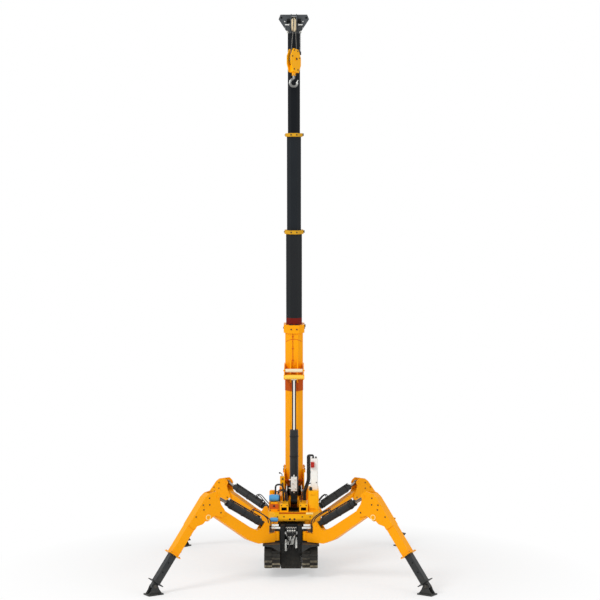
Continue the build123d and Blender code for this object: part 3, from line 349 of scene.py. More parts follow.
def hose_rubber():
    """Extruded hose cover: matt black rubber with a cloth pattern of 2 mm and a little grey bloom."""
    material, tree, place, output = finish_with("hose_rubber")
    bloom = add(tree, "ShaderNodeTexNoise", {"Vector": place, "Scale": 1 / 0.04, "Detail": 4.0}).outputs["Fac"]
    colour = add(
        tree, "ShaderNodeMix", {0: bloom, 6: linear("#121212"), 7: linear("#242322")}, data_type="RGBA"
    ).outputs[2]
    cloth = add(tree, "ShaderNodeTexVoronoi", {"Vector": place, "Scale": 1 / 0.002}).outputs["Distance"]
    bump = add(tree, "ShaderNodeBump", {"Height": cloth, "Strength": 0.25, "Distance": 0.0003}).outputs["Normal"]
    shader = add(
        tree, "ShaderNodeBsdfPrincipled", {"Base Color": colour, "Roughness": 0.6, "Normal": bump, "IOR": 1.5}
    )
    tree.links.new(shader.outputs[0], output.inputs["Surface"])
    return material


def rounded(points, bend=0.03, steps=6):
    """A path with its corners rounded: each is replaced by a parabola between points set back from it."""
    points = np.array(points, float)
    path = [points[0]]
    for before, corner, after in zip(points, points[1:], points[2:]):
        back, on = before - corner, after - corner
        reach = min(bend, 0.48 * np.linalg.norm(back), 0.48 * np.linalg.norm(on))
        start = corner + reach * back / np.linalg.norm(back)
        end = corner + reach * on / np.linalg.norm(on)
        t = np.linspace(0, 1, steps)[:, None]
        path += list((1 - t) ** 2 * start + 2 * t * (1 - t) * corner + t**2 * end)
    return np.array(path + [points[-1]])


def piped(path, radius, sides=12, rib=0.0, pitch=0.012):
    """A circle carried along a path, turned as little as it can be. Ribs swell it by a cosine of the way along."""
    path = np.asarray(path)
    way = np.concatenate([[0.0], np.cumsum(np.linalg.norm(np.diff(path, axis=0), axis=1))])
    if rib:
        fine = np.linspace(0, way[-1], int(way[-1] / pitch * 4) + 2)
        path = np.stack([np.interp(fine, way, path[:, i]) for i in range(3)], -1)
        way = fine
    tangent = np.gradient(path, way, axis=0)
    tangent /= np.linalg.norm(tangent, axis=1)[:, None]
    side = np.cross(tangent[0], (0.3, 0.5, 0.8))
    angle = 2 * pi * np.arange(sides) / sides
    rows = []
    for point, ahead, s in zip(path, tangent, way):
        side = side - ahead * np.dot(side, ahead)
        side /= np.linalg.norm(side)
        swell = radius * (1 + rib * np.cos(2 * pi * s / pitch))
        rows.append(point + swell * (np.cos(angle)[:, None] * side + np.sin(angle)[:, None] * np.cross(ahead, side)))
    return np.concatenate(rows), wrapped(len(path), sides)


bright_zinc = zinc_plating("bright_zinc_plating", "#F2F2EE", "#C9CAC6", 0.42)
# Near white and less metallic: a painted reflection of bright surroundings on the unions and tubes
painted_reflection_zinc = zinc_plating("chalky_zinc_plating", "#FAFAF6", "#E2E2DC", 0.4, 0.3)
dress(bright_zinc, "locking_pins")
dress(black_zinc, "front_manifold")
machined_steel = zinc_plating("oiled_machined_steel", "#8F8F8C", "#5E5F5E", 0.38)
dress(machined_steel, "slewing_ring")
hose_cover = hose_rubber()
dress(hose_cover, "front_hoses", "turret_hoses")
forward = (0, -1, 0)
unions = [hex_head((x, -0.668, 0.722), forward, 0.036, 0.016) for x in (-0.07, -0.035, 0, 0.035, 0.07)]
unions += [hex_head((x, -0.69, 0.722), forward, 0.031, 0.01) for x in (-0.07, -0.035, 0, 0.035, 0.07)]
unions += [hex_head((x, -0.668, 0.69), forward, 0.028, 0.03) for x in (-0.052, -0.018, 0.018, 0.052)]
unions += [hex_head((x, -0.672, 0.664), forward, 0.03, 0.014) for x in (-0.066, -0.031, 0.004, 0.039, 0.074)]
unions += [hex_head((x, -0.65, z), upward, 0.026, 0.02) for x in (-0.014, 0.014) for z in (0.475, 0.565)]
unions += [hex_head((x, -0.646, 0.53), upward, 0.034, 0.022) for x in (-0.045, 0.045)]
unions += [turned([(0.0105, 0), (0.0105, 0.125)], (x, -0.662, 0.475), upward) for x in (-0.045, -0.014, 0.014, 0.045)]
unions += [turned([(0.0205, 0), (0.0205, 0.05)], (x, -0.646, 0.472), upward) for x in (-0.045, 0.045)]
tube = [(0.016, 0), (0.021, 0.004), (0.021, 0.12), (0.013, 0.128), (0.013, 0.17)]
unions += [turned(tube, (x, -0.69, z), upward) for x, z in ((-0.084, 0.385), (0.08, 0.425))]
for side in (-1, 1):
    slanting = [(side * 0.088, -0.7, 0.665), (side * 0.06, -0.705, 0.62), (side * 0.036, -0.7, 0.55)]
    elbow = [(side * 0.088, -0.655, 0.665), (side * 0.088, -0.7, 0.665), (side * 0.088, -0.705, 0.64)]
    unions += [piped(rounded(slanting), 0.0095), piped(rounded(elbow, 0.02), 0.0105)]
piece("manifold_unions", unions, painted_reflection_zinc, "undercarriage")

# Turret floor, column, boxes and motor
# Folded and welded plate in bright orange enamel, bolted down, with a bare pale plate on the front face. The
# front parts take a yellower copy of the enamel as painted light, the red-brown strip is a painted shadow under a
# ledge, two black plugs are painted shade for two holes, and the block's slot and pockets are painted black as
# shade. The slewing motor and the accumulator are castings in blue enamel.

joints = {joint["name"]: joint for joint in frame["joints"]}
turret_x = joints["turret_slew"]["pos_m"][0]


def on_turret(x, y, z):
    """A point told with its x counted from the slewing axis."""
    return turret_x + x, y, z


def panel(x0, x1, z0, z1, front_y):
    """A 3 mm plate that lies on a face looking to the front."""
    return plate(oblong(x0, x1, z0, z1), 0.003, on_turret(0, front_y, 0), sideways, upward)


def painted_slot_shade(paint):
    """The enamel with painted shade: near black inside the block's slot, on the floor behind it and in its pockets,
    where shade falls, told apart by place."""
    tree = paint.node_tree
    place = next(n for n in tree.nodes if n.type == "TEX_COORD").outputs["Object"]
    axes = add(tree, "ShaderNodeSeparateXYZ", {"Vector": place}).outputs
    off = add(tree, "ShaderNodeMath", {0: axes["X"], 1: turret_x}, operation="SUBTRACT").outputs[0]
    off = add(tree, "ShaderNodeMath", {0: off}, operation="ABSOLUTE").outputs[0]
    masks = []
    for near, far, low, high, front, rear in (
        (-1.0, 0.0845, 0.8995, 1.07, -0.519, 0.3), (0.107, 0.192, 0.967, 1.0165, -0.519, -0.38)
    ):
        mask = None
        for value, test, limit in (
            (off, "GREATER_THAN", near), (off, "LESS_THAN", far), (axes["Z"], "GREATER_THAN", low),
            (axes["Z"], "LESS_THAN", high), (axes["Y"], "GREATER_THAN", front), (axes["Y"], "LESS_THAN", rear),
        ):
            found = add(tree, "ShaderNodeMath", {0: value, 1: limit}, operation=test).outputs[0]
            if mask is not None:
                found = add(tree, "ShaderNodeMath", {0: mask, 1: found}, operation="MULTIPLY").outputs[0]
            mask = found
        masks.append(mask)
    inside = add(tree, "ShaderNodeMath", {0: masks[0], 1: masks[1]}, operation="MAXIMUM").outputs[0]
    shader = next(n for n in tree.nodes if n.type == "BSDF_PRINCIPLED")
    colour = shader.inputs["Base Color"].links[0].from_socket
    # Near black mixed in by place: painted shade in the slot and pockets
    mixed = add(tree, "ShaderNodeMix", {0: inside, 6: colour, 7: linear("#0E0E0E")}, data_type="RGBA").outputs[2]
    tree.links.new(mixed, shader.inputs["Base Color"])
    return paint


orange = ("#FFA800", "#F9A100", 0.34, 0.6, 0.1, "#B08A48", 0.12)
orange_enamel = two_pack_enamel("orange_enamel", *orange)
dress(orange_enamel, "boom_column", "left_box", "engine_hood", "counterweight")
# A lighter, yellower copy of the orange enamel for the turntable, the right box and its door: painted light
painted_light_colours = ("#FFB70A", "#FBB004", *orange[2:])
painted_light_orange = two_pack_enamel("fresh_orange_enamel", *painted_light_colours)
dress(painted_light_orange, "right_box")
# The turntable also gets painted shade in its slot and pockets
dress(painted_slot_shade(two_pack_enamel("fresh_orange_enamel_black_slot", *painted_light_colours)), "turntable")
dress(charcoal_enamel, "engine_block")
blue_enamel = two_pack_enamel("blue_enamel", "#3F93C9", "#4A9DD0", 0.16, 0.6, 0.1, gloss=0.6)
dress(blue_enamel, "slew_motor", "blue_accumulator")
straw_enamel = two_pack_enamel("straw_enamel", "#FFE9A0", "#FADF90", 0.35, 0.6, 0.1)
black_plastic = two_pack_enamel("black_moulded_plastic", "#161616", "#1E1E1E", 0.45, 0.6, 0.1)
# A dark burnt orange that is painted shade, on the fascia and under the luffing bracket
painted_shade_orange = two_pack_enamel("burnt_orange_enamel", "#C25203", "#B64A02", 0.4, 0.6, 0.1, gloss=0.1)
face_y, block_y, box_y = -0.6003, -0.52, -0.4703
# A red-brown strip across the front face: painted shadow under the ledge above it
piece("fascia_strip", [panel(-0.225, 0.18, 0.929, 0.951, face_y)], painted_shade_orange, "turret")
piece("fascia_plate", [panel(0.19, 0.295, 0.922, 0.95, face_y)], straw_enamel, "turret")
# Two black plugs where two holes show dark: painted shade
painted_hole_shade_plugs = [turned([(0.015, 0), (0.015, 0.0035), (0.012, 0.0045)], (x, face_y, 0.849), forward) for x in (-0.02, 0.05)]
piece("fascia_plugs", painted_hole_shade_plugs, black_plastic, "turret")
bolts = [hex_head(on_turret(x, face_y, 0.885), forward, 0.02, 0.01) for x in (-0.25, -0.15, 0.13, 0.25)]
bolts += [hex_head(on_turret(x, box_y, z), forward) for x in (-0.366, -0.242) for z in (0.967, 1.078)]
bolts += [hex_head(on_turret(x, block_y, 1.045), forward) for x in (-0.19, -0.105, 0.105, 0.19)]
for s in (-1, 1):
    for y, z in ((0.42, 1.5), (0.58, 1.5), (0.5, 1.54)):
        bolts.append(hex_head(on_turret(s * 0.167, y, z), (s, 0, 0), 0.024, 0.012))
bolts += [hex_head(on_turret(x, 0.8, z), rearward, 0.026, 0.012) for x in (-0.2, 0.2) for z in (1.0, 1.14)]
piece("turret_bolts", bolts, black_zinc, "turret")

# Doors, caps and latches
# The left box has a door of sheet steel in a deeper orange, the right one a door on two hinge barrels. Filler
# caps and the latch are moulded black plastic, screwed on.

deep_orange = two_pack_enamel("deep_orange_enamel", "#D25C06", "#C45405", 0.4, 0.6, 0.1)
piece("box_door", [panel(-0.372, -0.238, 0.985, 1.062, box_y)], deep_orange, "turret")
profiles = (
    ([(0.016, 0), (0.016, 0.012), (0.01, 0.016)], (-0.305, -0.4733, 1.03), forward),
    ([(0.024, 0), (0.024, 0.03), (0.02, 0.05), (0.012, 0.054)], (0.262, -0.42, 1.262), upward),
    ([(0.03, 0), (0.03, 0.014), (0.022, 0.018)], (0.31, 0.02, 1.262), upward),
    ([(0.056, 0), (0.056, 0.012), (0.05, 0.016)], (-0.2275, -0.4, 1.1453), sideways),
)
caps = [turned(profile, on_turret(*spot), axis) for profile, spot, axis in profiles]
piece("caps_and_latches", caps, black_plastic, "turret")
hinges = [turned([(0.008, 0), (0.008, 0.07)], on_turret(0.25, -0.482, z), sideways, 10) for z in (1.0, 1.21)]
piece("tank_door", [panel(0.236, 0.372, 0.975, 1.235, box_y), *hinges], painted_light_orange, "turret")

# Electrical cabinet, stop box, lever valve and hood handle
# The cabinet is folded sheet in white enamel, with a lock and with cable glands on top. The stop box is red
# plastic, the valve has a bent steel lever with a ball, and the hood a handle of bent round bar.

white_enamel = two_pack_enamel("white_enamel", "#F7F7F3", "#F1F1EC", 0.35, 0.6, 0.1)
dress(white_enamel, "control_cabinet")
red_plastic = two_pack_enamel("red_moulded_plastic", "#C2271B", "#AE2317", 0.35, 0.6, 0.1)
dress(red_plastic, "stop_box")
yellow_enamel = two_pack_enamel("yellow_enamel", "#FFB405", "#F7AA04", 0.3, 0.6, 0.1, gloss=0.12)
dress(yellow_enamel, "lever_valve")
side_door = plate(oblong(-0.29, -0.13, 1.28, 1.72), 0.003, on_turret(0.3723, 0, 0), rearward, upward)
piece("cabinet_doors", [panel(0.272, 0.362, 1.285, 1.585, -0.3003), side_door], white_enamel, "turret")
lock = [turned([(0.009, 0), (0.009, 0.005)], on_turret(0.352, -0.3033, 1.37), forward)]
for x, y in ((0.302, -0.2), (0.302, -0.228), (0.345, -0.2)):
    lock.append(turned([(0.013, 0), (0.013, 0.02), (0.01, 0.024)], on_turret(x, y, 1.74), upward))
for z in (1.33, 1.4):
    lock.append(turned([(0.013, 0), (0.013, 0.02), (0.008, 0.024)], on_turret(-0.18, -0.0723, z), forward))
piece("cabinet_lock_and_glands", lock, black_plastic, "turret")
stem = [on_turret(*spot) for spot in ((-0.19, -0.044, 1.44), (-0.19, -0.044, 1.475), (-0.22, -0.12, 1.5))]
ball = [(0.006, 0), (0.013, 0.006), (0.013, 0.016), (0.006, 0.022)]
lever = [piped(rounded(stem, 0.02), 0.006), turned(ball, on_turret(-0.22, -0.12, 1.497), (-0.4, -0.8, 0.25))]
piece("valve_lever", lever, black_zinc, "turret")
grip = [on_turret(x, 0.25, z) for x, z in ((-0.33, 1.13), (-0.33, 1.16), (-0.25, 1.16), (-0.25, 1.13))]
piece("hood_handle", [piped(rounded(grip, 0.015), 0.006)], black_zinc, "turret")

# Turret hoses
# Rubber hoses from the top of the slotted block: two in ribbed sleeves, held by a clamp, to the cabinet, two stout
# ones to the left box, and three thin pilot hoses. They are stiff, and keep their arcs between their ends.

block_top, box_top = 1.067, 1.091
bundle = [plate(oblong(-0.246, -0.186, 1.505, 1.54), 0.062, on_turret(0.1997, 0, 0), rearward, upward)]
for step in (0.0, 0.028):
    x, y = 0.216 + step, -0.2 - step
    run = [(0.152 + step, -0.096, block_top), (0.152 + step, -0.096, 1.2), (x, y, 1.4)]
    run += [(x, y, 1.785), (0.302, y, 1.785), (0.302, y, 1.741)]
    bundle.append(piped(rounded([on_turret(*spot) for spot in run], 0.03), 0.0146, 12, 0.06, 0.018))
for radius, start, bow, x, y, top in (
    (0.014, -0.16, 0.015, -0.29, -0.19, 1.325), (0.009, -0.13, 0.01, -0.25, -0.15, 1.24)
):
    run = [(start, y, block_top), (start - bow, y, top), (x, y, top), (x, y, box_top)]
    bundle.append(piped(rounded([on_turret(*spot) for spot in run], 0.05), radius, 14))
looms = piece("turret_hose_runs", bundle, hose_cover, "turret")
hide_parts("turret_hoses")
feeds = [
    [(-0.11, -0.25, block_top), (-0.12, -0.26, 1.2), (-0.2, -0.3, 1.26), (-0.27, -0.33, 1.16), (-0.28, -0.33, box_top)],
    [(-0.1, -0.16, block_top), (-0.11, -0.13, 1.2), (-0.17, -0.1, 1.26), (-0.18, -0.1, 1.33), (-0.18, -0.072, 1.33)],
    [(0.11, -0.3, block_top), (0.12, -0.3, 1.18), (0.21, -0.31, 1.33), (0.25, -0.31, 1.36), (0.262, -0.3, 1.36)],
]
pilots = [piped(rounded([on_turret(*spot) for spot in run], 0.2, 10), 0.0075) for run in feeds]
piece("pilot_hoses", pilots, hose_cover, "turret")

# Winch
# A turned and zinc plated drum wound full with greased wire rope, each wrap beside the last, behind a guard of
# deep orange sheet that is bolted to the column.

dress(bright_zinc, "winch_drum")
guard = plate(oblong(-0.166, 0.166, 0.949, 1.42), 0.008, on_turret(0, 0.7, 0), sideways, upward)
piece("winch_rear_guard", [guard], deep_orange, "turret")
drum_end = (0.0705, 0.118)
wraps = [(0.0765 + 0.005 * sin(pi * i / 2) ** 2, -0.118 + 0.236 * i / 80) for i in range(81)]
wraps = [(drum_end[0], -drum_end[1]), *wraps, drum_end]
wire_rope = zinc_plating("greased_wire_rope", "#6E6C66", "#3E3D3A", 0.45)
piece("winch_rope", [turned(wraps, joints["winch_spin"]["pos_m"], sideways, 40)], wire_rope, "winch")

# Boom sections
# Four box sections bent from high-strength plate and welded, each sliding in the last on nylon pads that
# bolts in the collars set. A thin cable is clipped along the belly of the lowest.

pivot = np.array(joints["boom_luff"]["pos_m"])
boom_along = np.array(joints["boom_run_2"]["axis"])
boom_below = np.array([0.0, -boom_along[2], boom_along[1]])


def on_boom(x, along, below):
    """A point told by the boom: sideways, along it from its pivot, and below its middle line."""
    return pivot + x * sideways + along * boom_along + below * boom_below


def banded_enamel(name, body_paint, body_shade, bands):
    """Enamel whose colour changes at set distances along the boom: each band is (start, end, colour) in metres."""
    material = two_pack_enamel(name, body_paint, body_shade, 0.45, 0.6, 0.1, gloss=0.12)
    tree = material.node_tree
    place = next(n for n in tree.nodes if n.type == "TEX_COORD").outputs["Object"]
    from_pivot = add(tree, "ShaderNodeVectorMath", {0: place, 1: tuple(-pivot)}, operation="ADD").outputs["Vector"]
    along = add(
        tree, "ShaderNodeVectorMath", {0: from_pivot, 1: tuple(boom_along)}, operation="DOT_PRODUCT",
    ).outputs["Value"]
    shader = next(n for n in tree.nodes if n.type == "BSDF_PRINCIPLED")
    colour = shader.inputs["Base Color"].links[0].from_socket
    for start, end, paint in bands:
        past = add(tree, "ShaderNodeMath", {0: along, 1: start}, operation="GREATER_THAN").outputs[0]
        short = add(tree, "ShaderNodeMath", {0: along, 1: end}, operation="LESS_THAN").outputs[0]
        inside = add(tree, "ShaderNodeMath", {0: past, 1: short}, operation="MULTIPLY").outputs[0]
        colour = add(
            tree, "ShaderNodeMix", {0: inside, 6: colour, 7: linear(paint)}, data_type="RGBA"
        ).outputs[2]
    tree.links.new(colour, shader.inputs["Base Color"])
    return material


dress(orange_enamel, "boom_base")
red_band, gold_band = (2.3, 2.535, "#6E150A"), (3.87, 4.0, "#D09A20")
dress(banded_enamel("charcoal_enamel_red_band", "#1B1D1F", "#222426", [red_band, gold_band]), "boom_section_2")
dress(banded_enamel("charcoal_enamel_collar", "#171B1F", "#1E2226", [(5.395, 5.5, "#D09A20")]), "boom_section_3")
dress(two_pack_enamel("night_enamel", "#090C10", "#0E1217", 0.42, 0.6, 0.1, gloss=0.12), "boom_section_4")
collars = [
    ("boom", 2.424, 0.13, 0.284, 0.31),
    ("section_2", 3.932, 0.058, 0.252, 0.278),
    ("section_3", 5.45, 0.052, 0.222, 0.248),
]
pad, guide = oblong(-0.028, 0.028, -0.001, 0.014), oblong(0.0, 0.018, -0.02, 0.02)
for body, end, length, width, depth in collars:
    side, face, at = width / 2 + 0.024, depth / 2 + 0.024, end - length / 2
    heads = [hex_head(on_boom(x, at, face), boom_below, 0.024, 0.01) for x in (-0.045, 0.045)]
    heads += [hex_head(on_boom(x, at, -face), -boom_below, 0.024, 0.01) for x in (-0.06, 0.06)]
    heads += [hex_head(on_boom(s * side, at, b), s * sideways, 0.024, 0.01) for s in (-1, 1) for b in (-0.06, 0.03)]
    piece(f"{body}_collar_bolts", heads, black_zinc, body)
    low, high = depth / 2 - 0.003, -depth / 2 - 0.009
    pads = [
        plate(pad, 0.012, on_boom(x, end, below), sideways, boom_along)
        for x, below in ((-0.045, low), (0.045, low), (-0.06, high), (0.06, high))
    ]
    pads.append(plate(guide, 0.03, on_boom(side, end - 0.022, 0.03), sideways, boom_along))
    piece(f"{body}_slide_pads", pads, black_plastic, body)
belly = 0.155
cable = piped([on_boom(-0.02, along, belly + 0.006) for along in (1.8, 2.05, 2.29)], 0.0035)
clip = oblong(-0.012, 0.012, -0.008, 0.008)
clips = [plate(clip, 0.012, on_boom(-0.02, s, belly + 0.012), sideways, -boom_along) for s in (1.86, 2.05, 2.24)]
piece("boom_cable", [cable, *clips], deep_orange, "boom")
arc = np.linspace(-1, 1, 17)
seam = [on_boom(0.128 * t, 2.15 + 0.05 * (1 - t * t), belly - max(0.0, abs(0.128 * t) - 0.065)) for t in arc]
piece("boom_weld_seam", [piped(seam, 0.004, 8)], deep_orange, "boom")

# Luffing bracket
# Two wing plates and a burnt orange plate welded to the boom's belly hold the rod's pin; that plate's colour is
# painted shade under the bracket. Between the wings a nylon roller turns on a through bar, with a steel bar beside
# it whose pale amber is a painted highlight.

pale_nylon = two_pack_enamel("pale_nylon", "#F0E0BE", "#E6D5B2", 0.5, 0.6, 0.1)
roller_axis = on_boom(0, 1.735, 0.385)
roller = [(0.022, -0.138), (0.027, -0.134), (0.027, 0.134), (0.022, 0.138)]
piece("bracket_roller", [turned(roller, roller_axis, sideways)], pale_nylon, "boom")
bar = [(0.03, -0.165), (0.036, -0.16), (0.036, 0.16), (0.03, 0.165)]
# A pale amber for the round bar: a painted highlight along it
amber_enamel = two_pack_enamel("amber_enamel", "#FFCE4E", "#FAC644", 0.34, 0.6, 0.1)
piece("bracket_bar", [turned(bar, on_boom(0, 1.632, 0.39), sideways)], amber_enamel, "boom")
wing = [(1.55, 0.0), (1.59, 0.42), (1.755, 0.42), (1.79, 0.3), (1.79, 0.0)]
wings = [plate(wing, 0.014, on_boom(x, 0, 0), boom_along, boom_below) for x in (-0.1575, 0.1435)]
wings.append(turned([(0.012, -0.168), (0.012, 0.168)], roller_axis, sideways, 12))
piece("bracket_wings", wings, orange_enamel, "boom")
outline = [
    (-0.1455, 0.079), (-0.1415, 0.077), (-0.0645, 0.1545), (0.0645, 0.1545), (0.1415, 0.077), (0.1455, 0.079),
    (0.0665, 0.1595), (-0.0665, 0.1595),
]
# A dark plate on the belly: painted shade under the bracket
belly_shade_plate = [plate(outline, 0.225, on_boom(0, 1.58, 0), sideways, boom_below, 0.001)]
piece("bracket_doubler", belly_shade_plate, painted_shade_orange, "boom")
nuts = [hex_head(on_boom(s * 0.079, 1.6, 0.3), s * sideways, 0.03, 0.01) for s in (-1, 1)]
for s in (-1, 1):
    for a, b in ((0.07, 0.04), (0.07, -0.04), (-0.07, 0.0)):
        nuts.append(hex_head(on_boom(s * 0.143, a, b), s * sideways, 0.02, 0.008))
piece("boom_pin_bolts", nuts, black_zinc, "boom")

# Boom head
# A welded head of grey plate with its rope wheel of cast nylon on a through bolt. Plates are screwed over its
# windows, and the limit switch's weight hangs beside the wheel on a steel chain.

head_enamel = two_pack_enamel("grey_enamel", "#424548", "#4A4D50", 0.42, 0.6, 0.1)
dress(head_enamel, "boom_head")
dress(pale_nylon, "head_sheave")
head_face, head_axle = 0.124, (7.09, 0.216)
knob = [(0.02, 0), (0.02, 0.006), (0.012, 0.008), (0.012, 0.028), (0.008, 0.032)]
knobs = [turned(knob, on_boom(x, 6.99, head_face), boom_below) for x in (-0.105, 0.105)]
knobs += [hex_head(on_boom(x, a, head_face), boom_below, 0.02, 0.008) for x in (-0.14, 0.14) for a in (7.05, 7.15)]
knobs += [hex_head(on_boom(s * 0.07, *head_axle), s * sideways, 0.03, 0.012) for s in (-1, 1)]
knobs.append(turned([(0.009, -0.135), (0.009, 0.135)], on_boom(0, *head_axle), sideways, 16))
piece("head_knobs", knobs, bright_zinc, "section_4")


def on_head(x0, x1, along0, along1, below, thickness):
    """A plate square to the boom's belly, from one side to the other and between two distances along the boom."""
    return plate(oblong(x0, x1, along0, along1), thickness, on_boom(0, 0, below), sideways, boom_along)


fillers = [on_head(x, x + 0.058, 7.001, 7.093, 0.11, 0.012) for x in (-0.112, 0.054)]
piece("head_window_plates", fillers, head_enamel, "section_4")
# Near-black plates behind the head's windows and holes, and strips above the windows: painted shade in the openings
painted_shade_backs = [on_head(x, x + 0.066, 6.999, 7.161, 0.098, 0.005) for x in (-0.114, 0.048)]
painted_shade_backs.append(on_head(-0.034, 0.034, 7.037, 7.232, 0.086, 0.005))
painted_shade_backs += [on_head(x - 0.024, x + 0.024, 7.183, 7.231, 0.1, 0.005) for x in (-0.19, 0.19)]
painted_shade_backs += [on_head(x, x + 0.05, 7.158, 7.193, 0.1235, 0.003) for x in (-0.108, 0.058)]
piece("head_back_plates", painted_shade_backs, keel_enamel, "section_4")
wheel = joints["sheave_spin"]["pos_m"]
disc = [(0.042, 0.0176), (0.084, 0.0176), (0.087, 0.021), (0.087, 0.03), (0.084, 0.0336), (0.042, 0.0336)]
discs = [turned(disc, wheel, (s, 0, 0), 40, True) for s in (-1, 1)]
piece("sheave_side_discs", discs, pale_nylon, "sheave")
link = [(0.006 * cos(a), 0.0, 0.011 * sin(a)) for a in np.linspace(0, 2 * pi, 13)]
hang = on_boom(0.1, 6.99, 0.17)
links = []
for i in range(18):
    loop = [(x, y, z) if i % 2 else (y, x, z) for x, y, z in link]
    links.append(piped([hang + np.array(p) - 0.017 * i * upward for p in loop], 0.0022, 6))
links.append(turned([(0.01, 0), (0.013, 0.006), (0.013, 0.05), (0.01, 0.056)], hang - 0.362 * upward, upward, 16))
piece("switch_chain", links, black_zinc, "section_4")

# Hoist block
# Two flame-cut cheeks round a rope wheel, bolted through spacers, over a swivelling forged hook with a
# sheet latch across its throat.

dress(yellow_enamel, "hook_block")
dress(two_pack_enamel("gold_nylon", "#A48A45", "#94793B", 0.5, 0.6, 0.1), "block_sheave")
dress(machined_steel, "hook")
dress(wire_rope, "hoist_falls")
block_turn = np.array(joints["block_sheave_spin"]["axis"])
block_x = np.array([block_turn[1], -block_turn[0], 0.0])
block_middle = np.array(joints["block_sheave_spin"]["pos_m"]) - 0.02 * upward
cheek_face, axle_end = 0.045, 0.055
spots = ((-0.085, 0.05), (0.085, 0.05), (-0.045, -0.14), (0.045, -0.14), (-0.04, 0.15), (0.04, 0.15))
heads = [
    hex_head(block_middle + x * block_x + z * upward + s * cheek_face * block_turn, s * block_turn, 0.022)
    for s in (-1, 1) for x, z in spots
]
for s in (-1, 1):
    heads.append(hex_head(block_middle + 0.02 * upward + s * axle_end * block_turn, s * block_turn, 0.034, 0.01))
piece("hook_block_bolts", heads, black_zinc, "hook_block")
swivel = np.array(joints["hook_swivel"]["pos_m"])
nut = turned([(0.033, -0.03), (0.033, -0.012), (0.028, -0.006)], swivel - 0.012 * upward, upward, 6)
piece("swivel_nut", [nut], black_zinc, "hook_block")
eye = swivel - 0.1583 * upward
tongue, tilt = oblong(-0.006, 0.006, 0.0, 0.058), np.array([0.5, 0.0, 0.866])
flap = plate(tongue, 0.004, eye + np.array([0.036, -0.002, -0.012]), (0.866, 0, -0.5), tilt, 0.001)
piece("hook_latch", [flap], bright_zinc, "hook")

# Luffing cylinder
# A honed tube with a screwed gland and a ground, chromed rod. Its holding valve is strapped on in front.


def hard_chrome(name, tone, film):
    """Ground and chromed rod: a mirror with faint rings 2 mm apart. Its two sides, where the surface faces sideways,
    are painted dark brown as a painted reflection."""
    material, tree, place, output = finish_with(name)
    rings = add(tree, "ShaderNodeTexNoise", {"Vector": place, "Scale": 1 / 0.002, "Detail": 2.0}).outputs["Fac"]
    bump = add(tree, "ShaderNodeBump", {"Height": rings, "Strength": 0.04, "Distance": 0.0002}).outputs["Normal"]
    facing = add(tree, "ShaderNodeSeparateXYZ", {"Vector": add(tree, "ShaderNodeNewGeometry").outputs["Normal"]})
    aside = add(tree, "ShaderNodeMath", {0: facing.outputs["X"]}, operation="ABSOLUTE").outputs[0]
    painted_reflection_sides = add(
        tree, "ShaderNodeMapRange", {"Value": aside, "From Min": 0.34, "From Max": 0.46}
    ).outputs["Result"]
    colour = add(tree, "ShaderNodeMix", {0: painted_reflection_sides, 6: linear(tone), 7: linear(film)}, data_type="RGBA").outputs[2]
    shader = add(
        tree, "ShaderNodeBsdfPrincipled", {"Base Color": colour, "Metallic": 1.0, "Roughness": 0.16, "Normal": bump}
    )
    tree.links.new(shader.outputs[0], output.inputs["Surface"])
    return material


# The luff rod's dark brown sides are a painted reflection
chrome = hard_chrome("hard_chrome", "#EDEBE6", "#2A2216")
# The leg rods take a darker copy of the chrome, with its dark sides: painted shade and painted reflection
chrome_painted_in_shade = hard_chrome("hard_chrome_in_shade", "#A39C92", "#6B6258")
dress(chrome, "luff_rod")
dress(charcoal_enamel, "luff_barrel")
dress(white_enamel, "luff_valve")
luff_foot = np.array(joints["luff_swing"]["pos_m"])
luff_along = np.array(joints["luff_extend"]["axis"])
luff_front = np.array([0.0, -luff_along[2], luff_along[1]])


def on_luff(along, front, x=0.0):
    """A point told by the cylinder: along it from its foot, in front of its middle line, and sideways."""
    return luff_foot + along * luff_along + front * luff_front + x * sideways


band = [(0.068, 0), (0.073, 0.003), (0.073, 0.017), (0.068, 0.02)]
bands = [turned(band, on_luff(a, 0), luff_along, 40, True) for a in (0.19, 0.36, 0.7, 1.02)]
piece("luff_bands", bands, black_plastic, "luff_barrel")
gland = [(0.05, 0.0), (0.066, 0.0), (0.066, 0.086), (0.062, 0.09), (0.034, 0.09), (0.034, 0.082), (0.05, 0.082)]
piece("luff_gland", [turned(gland, on_luff(1.045, 0), luff_along, 40, True)], charcoal_enamel, "luff_barrel")
front_ports = ((0.22, 0.02), (0.3, -0.02), (0.36, 0.02))
ports = [hex_head(on_luff(a, 0.121, x), luff_front, 0.03, 0.014) for a, x in front_ports]
ports += [hex_head(on_luff(a, 0.095), s * luff_along, 0.024, 0.02) for a, s in ((0.395, 1), (0.175, -1))]
ports += [hex_head(on_luff(a, 0.095, -0.078), -sideways, 0.022, 0.004) for a in (0.215, 0.35)]
piece("valve_ports", ports, bright_zinc, "luff_barrel")

# Outriggers
# Arms and outer legs are welded box tubes in orange, inner legs and feet charcoal, and each arm has its
# own cylinder with a clipped oil pipe and two hoses that come up from the king pin.


def knuckle_ring(spot, axis):
    """A pale washer round the knuckle pin's end, a ring of rectangular section turned about the pin."""
    return turned([(0.031, 0), (0.042, 0), (0.042, 0.003), (0.031, 0.003)], spot, axis, 32, True)


